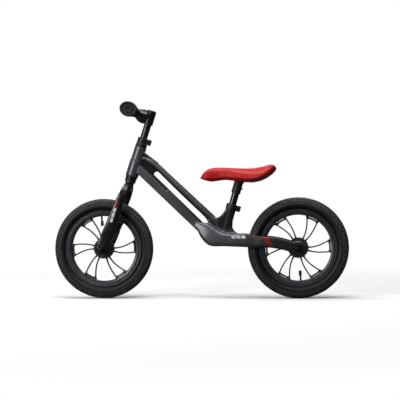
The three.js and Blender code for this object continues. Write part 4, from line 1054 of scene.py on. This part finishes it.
class MESH_OT_bike_clamps(bpy.types.Operator):
    """Build the steering and seat clamps with their bolts and nuts"""

    bl_idname = "mesh.bike_clamps"
    bl_label = "Clamps"

    def execute(self, context):
        for name, mapping, tube_radius, low in (("stem", at_head, 13.6, 341.7),
                                                ("seat", at_seat, 14.6, 120.5)):
            bore, high, middle = tube_radius + 0.3, low + 17.5, low + 8.75
            back = -(bore + 2.6 + 4.75)
            ring = plate(clamp_outline(bore), low, high, 0.7)
            piece_of(f"{name}_split_clamp", at(mapping, ring), "plastic", f"{name}_clamp",
                     30)

            def cross(p, mapping=mapping, back=back, middle=middle):
                """Height runs across the clamp's two lugs."""
                a, b, y = p.T
                return mapping(np.stack([back + a, y, middle + b], -1))

            angle = round_angles(48)
            socket = 2.3 / np.cos((angle % (np.pi / 3)) - np.pi / 6) * 0.87
            rows = [(0, -13.8), (2.5, -13.8), (2.5, 9.3), (3.9, 9.3), (4.25, 9.7), (4.25, 13.3), (3.8, 13.8),
                    (2.7, 13.8), (2.3, 13.6), (2.3, 11.4), (0, 11.0)]
            bolt = turned(rows, 48, wrap=False)
            points = bolt[0].reshape(len(rows), 48, 3)
            for k in (8, 9):
                points[k, :, 0], points[k, :, 1] = socket * np.cos(angle), socket * np.sin(angle)
            bolt = (points.reshape(-1, 3), bolt[1])
            piece_of(f"{name}_socket_bolt", at(cross, bolt), "blackened", f"{name}_clamp_bolt")
            piece_of(f"{name}_hexagon_nut", at(cross, nut(8, 5.6, -13.8, -9.3)), "blackened",
                     f"{name}_clamp_nut")
        return {"FINISHED"}


def grip():
    """A rubber grip about its own axis, from its inner end at 50 to its closed oval end at 150.

    Rows of (radius, place, oval share). The oval end is 54 by 45: its long half-axis is the radius times
    1 + 0.2 times the share. Ribs run round the barrel as a flat-topped wave.
    """
    barrel = np.arange(56.0, 139.01, 0.6)
    rib = 14.55 + 0.45 * fade(np.cos(barrel * 2 * np.pi / 5.2), -0.3, 0.35)
    rows = [(0, 142.3, 0), (11.4, 142.3, 0), (11.4, 50.4, 0), (11.9, 50, 0), (16.0, 50, 0), (16.5, 50.5, 0),
            (16.5, 53.5, 0), (15.9, 54, 0), (15.0, 54.9, 0)]
    rows += [(r, y, 0) for r, y in zip(rib, barrel)]
    rows += [(15.0, 139.6, 0), (15.6, 140.6, 0.1), (17.6, 141.6, 0.5), (20.8, 142.3, 0.9), (22.1, 143.2, 1),
             (22.5, 144.8, 1), (22.5, 146.6, 1), (22.0, 148.4, 1), (20.6, 149.6, 1), (19.0, 150, 1),
             (17.4, 149.8, 1), (16.4, 148.9, 1), (15.4, 148.3, 0.9), (11.5, 148.3, 0.8), (10.6, 148.9, 0.7),
             (9.4, 149.3, 0.6), (8.2, 149.3, 0.5), (7.2, 148.8, 0.4), (5.2, 147.4, 0.2), (3.0, 146.8, 0),
             (0, 146.6, 0)]
    radius, place, oval = np.array(rows).T
    angle = round_angles(96)
    wide = radius * (1 + 0.2 * oval)
    points = np.stack([np.outer(wide, np.cos(angle)), np.outer(place, np.ones(96)),
                       np.outer(radius, np.sin(angle))], -1)
    return grid(points)


class MESH_OT_bike_handlebar(bpy.types.Operator):
    """Build the riser, the stem head, the bar and its grips"""

    bl_idname = "mesh.bike_handlebar"
    bl_label = "Handlebar"

    def execute(self, context):
        def on_bar(p):
            """Height runs along the handlebar."""
            a, b, y = p.T
            return at_head(np.stack([BAR_AHEAD + a, y, BAR_HEIGHT + b], -1))

        def ahead(p):
            """Height runs forwards along the stem's arm."""
            a, b, h = p.T
            return at_head(np.stack([h, a, BAR_HEIGHT + b], -1))

        piece_of("riser_post", at(at_head, tube(11.1, 9.3, 275.2, 441.9)), "powder", "riser_tube")
        dome = [(0, 402.2), (13.6, 402.2), (14.25, 403), (14.25, 444), (13.4, 446.2), (11, 447.1), (0, 447.2)]
        stem = shaped("stem_casting", together(
            at(at_head, turned(dome, 64, wrap=False)),
            at(ahead, rod(12.0, 0, BAR_AHEAD, 1.0)),
            at(on_bar, rod(14.0, -18, 18, 1.0)),
        ))
        cast(stem, 0.9, 4)
        carve(stem, cut=[
            at(at_head, drill(TUBE_BORE, 398, 442.2)),
            at(on_bar, drill(TUBE_BORE, -22, 22)),
            at(ahead, drill(2.8, 50, 64, 32)),
        ])
        finish_piece(stem, "powder", "stem_head", 40)
        piece_of("bar_tube", at(on_bar, tube(11.1, 9.3, -142, 142)), "powder", "handlebar_tube")
        piece_of("bar_set_screw", at(ahead, rod(2.5, 56.4, 59.0, 0.3, 32)), "blackened",
                 "handlebar_set_screw")
        shape = grip()
        for hand, s in HANDS:
            points = shape[0] * (1, s, 1)
            placed = at_head(points + (BAR_AHEAD, 0, BAR_HEIGHT))
            piece_of(f"moulded_grip_{hand}", (placed, shape[1]), "grip", f"grip_{hand}",
                     40)
        return {"FINISHED"}


# ---- Saddle, with (forwards, up) from where the post meets its underside ----

SADDLE_TOP = [(-113, 34), (-110, 42), (-104, 47), (-94, 47.5), (-82, 43.2), (-70, 40), (-42, 35.2),
              (-8, 35.4), (28, 37.6), (58, 38.8), (78, 38.5), (92, 36.4), (103, 31), (111, 22.5), (117, 12.5),
              (120, 5)]
SADDLE_LOW = [(-113, 34), (-109, 27), (-100, 17.5), (-88, 7.5), (-74, -0.8), (-60, -5.2), (-46, -7.2),
              (-30, -7.2), (-10, -5.2), (18, -1.2), (44, 1.8), (62, -0.6), (80, -3.2), (92, -3.4), (104, -1),
              (112, 1.6), (117, 3.4), (120, 5)]
SADDLE_PLAN = [(-113, 0), (-112, 30), (-108, 52), (-103, 64), (-95, 71.5), (-84, 74.5), (-72, 74.4),
               (-56, 72), (-30, 62), (0, 46), (30, 32), (60, 25), (95, 22), (107, 19.5), (114, 14.5),
               (118.5, 8), (120, 0)]


def saddle_form(shrink=0.0):
    """A crowned closed cushion: sections between a top and an underside line, as wide as the plan.

    x runs on a cosine so the ends are round. Above the edge a section is a superellipse; below it, the
    section tucks under.
    """
    u = np.linspace(0.0, np.pi, 90)
    x = 3.5 + 116.4 * np.cos(u)
    top = np.interp(x, *np.array(SADDLE_TOP).T)
    low = np.interp(x, *np.array(SADDLE_LOW).T)
    half = np.interp(x, *np.array(SADDLE_PLAN).T)
    for _ in range(3):
        top[1:-1], low[1:-1], half[1:-1] = (v[1:-1] / 2 + (v[:-2] + v[2:]) / 4 for v in (top, low, half))
    angle = round_angles(72)
    cos, sin = np.cos(angle), np.sin(angle)
    y = np.sign(cos) * np.abs(cos) ** 0.74 * np.maximum(half - shrink, 0.6)[:, None]
    edge = low + (top - low) * 0.3
    up = np.where(sin > 0, (top - shrink - edge)[:, None] * np.abs(sin) ** 0.86,
                  -(edge - low - shrink)[:, None] * np.abs(sin) ** 0.62)
    z = edge[:, None] + up
    return loft(np.stack([np.repeat(x[:, None], 72, 1), y, z], -1))


def on_saddle(p):
    """Points moved from the saddle's own foot to where the post meets its underside."""
    return p + (SADDLE_FOOT[0], 0, SADDLE_FOOT[1])


def swell(piece, cap):
    """The skin blown up a little by cloth pressure with no gravity, then held to a cap.

    Point = rest + move * min(1, cap / |move|), in millimetres.
    """
    rest = points_of(piece.data)
    cloth = piece.modifiers.new("cloth", "CLOTH")
    cloth.settings.use_pressure = True
    cloth.settings.uniform_pressure_force = 4.0
    cloth.settings.effector_weights.gravity = 0.0
    cloth.settings.quality = 5
    cloth.point_cache.frame_start, cloth.point_cache.frame_end = 1, 20
    for step in range(1, 21):
        bpy.context.scene.frame_set(step)
    settle(piece)
    bpy.context.scene.frame_set(1)
    move = points_of(piece.data) - rest
    far = np.linalg.norm(move, axis=1, keepdims=True)
    held = rest + move * np.minimum(1, cap / np.maximum(far, 1e-9))
    piece.data.vertices.foreach_set("co", (held * 0.001).astype(np.float32).ravel())
    piece.data.update()
    relax = piece.modifiers.new("relax", "SMOOTH")
    relax.factor, relax.iterations = 0.5, 3
    finer = piece.modifiers.new("finer", "SUBSURF")
    finer.levels = finer.render_levels = 1
    return settle(piece)


class MESH_OT_bike_saddle(bpy.types.Operator):
    """Build the saddle: seat post, base, socket screw and the foam cushion under its skin"""

    bl_idname = "mesh.bike_saddle"
    bl_label = "Saddle"

    def execute(self, context):
        cap = context.scene.balance_bike_sizes.saddle_swell * 1000.0
        cushion = shaped("saddle_pad", at(on_saddle, saddle_form(1.6)))
        swell(cushion, cap)
        finish_piece(cushion, "cover", "saddle_cushion", 70)
        piece_of("seat_pillar", at(at_seat, tube(11.1, 9.3, 62, 213)), "powder", "seat_post")
        u = np.linspace(-73.0, 79.0, 60)
        low = np.interp(u, *np.array(SADDLE_LOW).T)
        half = np.maximum(np.interp(u, *np.array(SADDLE_PLAN).T) - 9.0, 4.0) * np.sqrt(
            np.clip(1 - ((u - 3) / 78.0) ** 8, 0.02, 1))
        a, b = rounded_ring(1, 1, 3.0, 40)
        y = half[:, None] * a[None, :]
        z = (low + 4.2)[:, None] + 2.6 * b[None, :]
        base_plate = loft(np.stack([np.repeat(u[:, None], 40, 1), y, z], -1))
        socket_rows = [(0, 172.5), (13.2, 172.5), (13.8, 173.2), (13.8, 206), (16.5, 211), (17, 214),
                       (0, 214)]
        base = shaped("saddle_shell", at(on_saddle, base_plate))
        carve(
            base,
            add=[at(at_seat, turned(socket_rows, 64, wrap=False))],
            cut=[at(at_seat, drill(TUBE_BORE, 170, 213.3))],
        )
        finish_piece(base, "plastic", "saddle_base", 35)
        material_for("saddle_socket_screw", "blackened")
        return {"FINISHED"}


def material_for(node, kind):
    """A carried-over CAD node with a finish from the list."""
    NODES[node].material_slots[0].material = finish(kind)


# ---- Stage ----


# Soft boxes: name, place, what it faces, width and height in metres, and watts.
SOFT_BOXES = (
    ("overhead_box", (0.2, 0.3, 2.4), (0, 0, 0.25), (2.6, 1.2), 78),
    ("front_side_box", (2.0, 2.4, 1.0), (0, 0, 0.3), (1.0, 1.3), 56),
    ("camera_side_box", (-0.9, 3.3, 2.4), (0, 0, 0.25), (2.0, 0.7), 10),
    ("back_box", (0.2, -2.3, 1.5), (0, 0, 0.3), (2.0, 1.0), 14),
)
# The camera stands on the bike's left, turned 6 degrees towards the rear and very slightly rolled.
CAMERA_PLACE, CAMERA_TURN, CAMERA_ROLL = (-0.367, 3.492, 0.2835), 6.0, -0.45


def soft_box(name, place, target, size, power):
    """A rectangular soft light at a place, turned to face a target, in metres and watts."""
    light = bpy.data.lights.new(name, "AREA")
    light.shape, light.size, light.size_y, light.energy = "RECTANGLE", size[0], size[1], power
    lamp = put(name, light)
    lamp.location = place
    lamp.rotation_euler = (Vector(target) - Vector(place)).to_track_quat("-Z", "Y").to_euler()


class SCENE_OT_bike_stage(bpy.types.Operator):
    """Lay a plain pale floor, soft studio lights and the camera"""

    bl_idname = "scene.bike_stage"
    bl_label = "Stage"

    def execute(self, context):
        scene = context.scene
        scene.view_settings.view_transform = "Standard"
        world = bpy.data.worlds.new("pale_room")
        scene.world = world
        world.use_nodes = True
        tree = world.node_tree
        tree.nodes.clear()
        seen = add_node(tree, "ShaderNodeLightPath").outputs["Is Camera Ray"]
        room = add_node(tree, "ShaderNodeBackground", Color=(0.93, 0.95, 1.0, 1.0), Strength=0.07)
        white = add_node(tree, "ShaderNodeBackground", Color=(1.0, 1.0, 1.0, 1.0), Strength=1.0)
        mix = add_node(tree, "ShaderNodeMixShader", _0=seen, _1=room.outputs[0], _2=white.outputs[0])
        add_node(tree, "ShaderNodeOutputWorld", Surface=mix.outputs[0])

        ring = turned([(0, 0), (1500, 0), (4000, 0), (60000, 0)], 64, wrap=False)
        floor = put("floor", build("floor", ring))
        material = bpy.data.materials.new("pale_floor")
        material.use_nodes = True
        tree = material.node_tree
        tree.nodes.clear()
        place = add_node(tree, "ShaderNodeTexCoord").outputs["Object"]
        reach = add_node(tree, "ShaderNodeVectorMath", {"operation": "LENGTH"}, _0=place).outputs["Value"]
        away = add_node(tree, "ShaderNodeMapRange", Value=reach, From_Min=0.45, From_Max=1.7)
        seen = add_node(tree, "ShaderNodeLightPath").outputs["Is Camera Ray"]
        share = add_node(tree, "ShaderNodeMath", {"operation": "MULTIPLY"}, _0=away.outputs[0],
                         _1=seen).outputs[0]
        grain = add_node(tree, "ShaderNodeTexNoise", Vector=place, Scale=900.0)
        bump = add_node(tree, "ShaderNodeBump", Strength=0.1, Distance=0.0002, Height=grain.outputs["Fac"])
        tone = add_node(
            tree, "ShaderNodeMix", {"data_type": "RGBA"}, Factor=seen, A=linear("#555555"),
            B=linear("#e4e4e4")
        )
        paper = add_node(
            tree, "ShaderNodeBsdfDiffuse", Color=tone.outputs["Result"], Roughness=0.3, Normal=bump.outputs[0]
        )
        glow = add_node(tree, "ShaderNodeEmission", Color=(1, 1, 1, 1), Strength=1.0)
        mix = add_node(tree, "ShaderNodeMixShader", _0=share, _1=paper.outputs[0], _2=glow.outputs[0])
        add_node(tree, "ShaderNodeOutputMaterial", Surface=mix.outputs[0])
        floor.data.materials.append(material)

        for light in SOFT_BOXES:
            soft_box(*light)

        data = bpy.data.cameras.new("side_camera")
        data.lens, data.sensor_width, data.shift_y = 103.8, 36.0, 0.0125
        data.clip_end = 200.0
        camera = put("side_camera", data)
        turn = math.radians(CAMERA_TURN)
        look = Vector((math.sin(turn), -math.cos(turn), 0)).to_track_quat("-Z", "Y").to_matrix()
        roll = Matrix.Rotation(math.radians(CAMERA_ROLL), 3, "Z")
        camera.matrix_world = Matrix.Translation(CAMERA_PLACE) @ (look @ roll).to_4x4()
        scene.camera = camera
        return {"FINISHED"}


# ---- Panel and running order ----

OPERATORS = (
    MESH_OT_bike_frame, MESH_OT_bike_fork, MESH_OT_bike_wheels, MESH_OT_bike_axles, MESH_OT_bike_headset,
    MESH_OT_bike_clamps, MESH_OT_bike_handlebar, MESH_OT_bike_saddle, SCENE_OT_bike_stage,
)


class VIEW3D_PT_balance_bike(bpy.types.Panel):
    """The balance bike's sizes, colours and pieces"""

    bl_label = "Balance bike"
    bl_idname = "VIEW3D_PT_balance_bike"
    bl_space_type = "VIEW_3D"
    bl_region_type = "UI"
    bl_category = "Balance bike"

    def draw(self, context):
        for group in (context.scene.balance_bike_sizes, context.scene.balance_bike_colours):
            for key in group.__annotations__:
                self.layout.prop(group, key)
        for operator in OPERATORS:
            self.layout.operator(operator.bl_idname)


CLASSES = (BikeColours, BikeSizes, *OPERATORS, VIEW3D_PT_balance_bike)


def register():
    """Registers the classes and hangs the two groups of settings on the scene."""
    for item in CLASSES:
        bpy.utils.register_class(item)
    bpy.types.Scene.balance_bike_colours = PointerProperty(type=BikeColours)
    bpy.types.Scene.balance_bike_sizes = PointerProperty(type=BikeSizes)


def unregister():
    """Takes both away again, in the opposite order."""
    del bpy.types.Scene.balance_bike_sizes
    del bpy.types.Scene.balance_bike_colours
    for item in reversed(CLASSES):
        bpy.utils.unregister_class(item)


def main():
    """Registers the classes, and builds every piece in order."""
    register()
    bpy.ops.mesh.bike_frame()
    bpy.ops.mesh.bike_fork()
    bpy.ops.mesh.bike_wheels()
    bpy.ops.mesh.bike_axles()
    bpy.ops.mesh.bike_headset()
    bpy.ops.mesh.bike_clamps()
    bpy.ops.mesh.bike_handlebar()
    bpy.ops.mesh.bike_saddle()
    bpy.ops.scene.bike_stage()


if __name__ == "__main__":
    main()
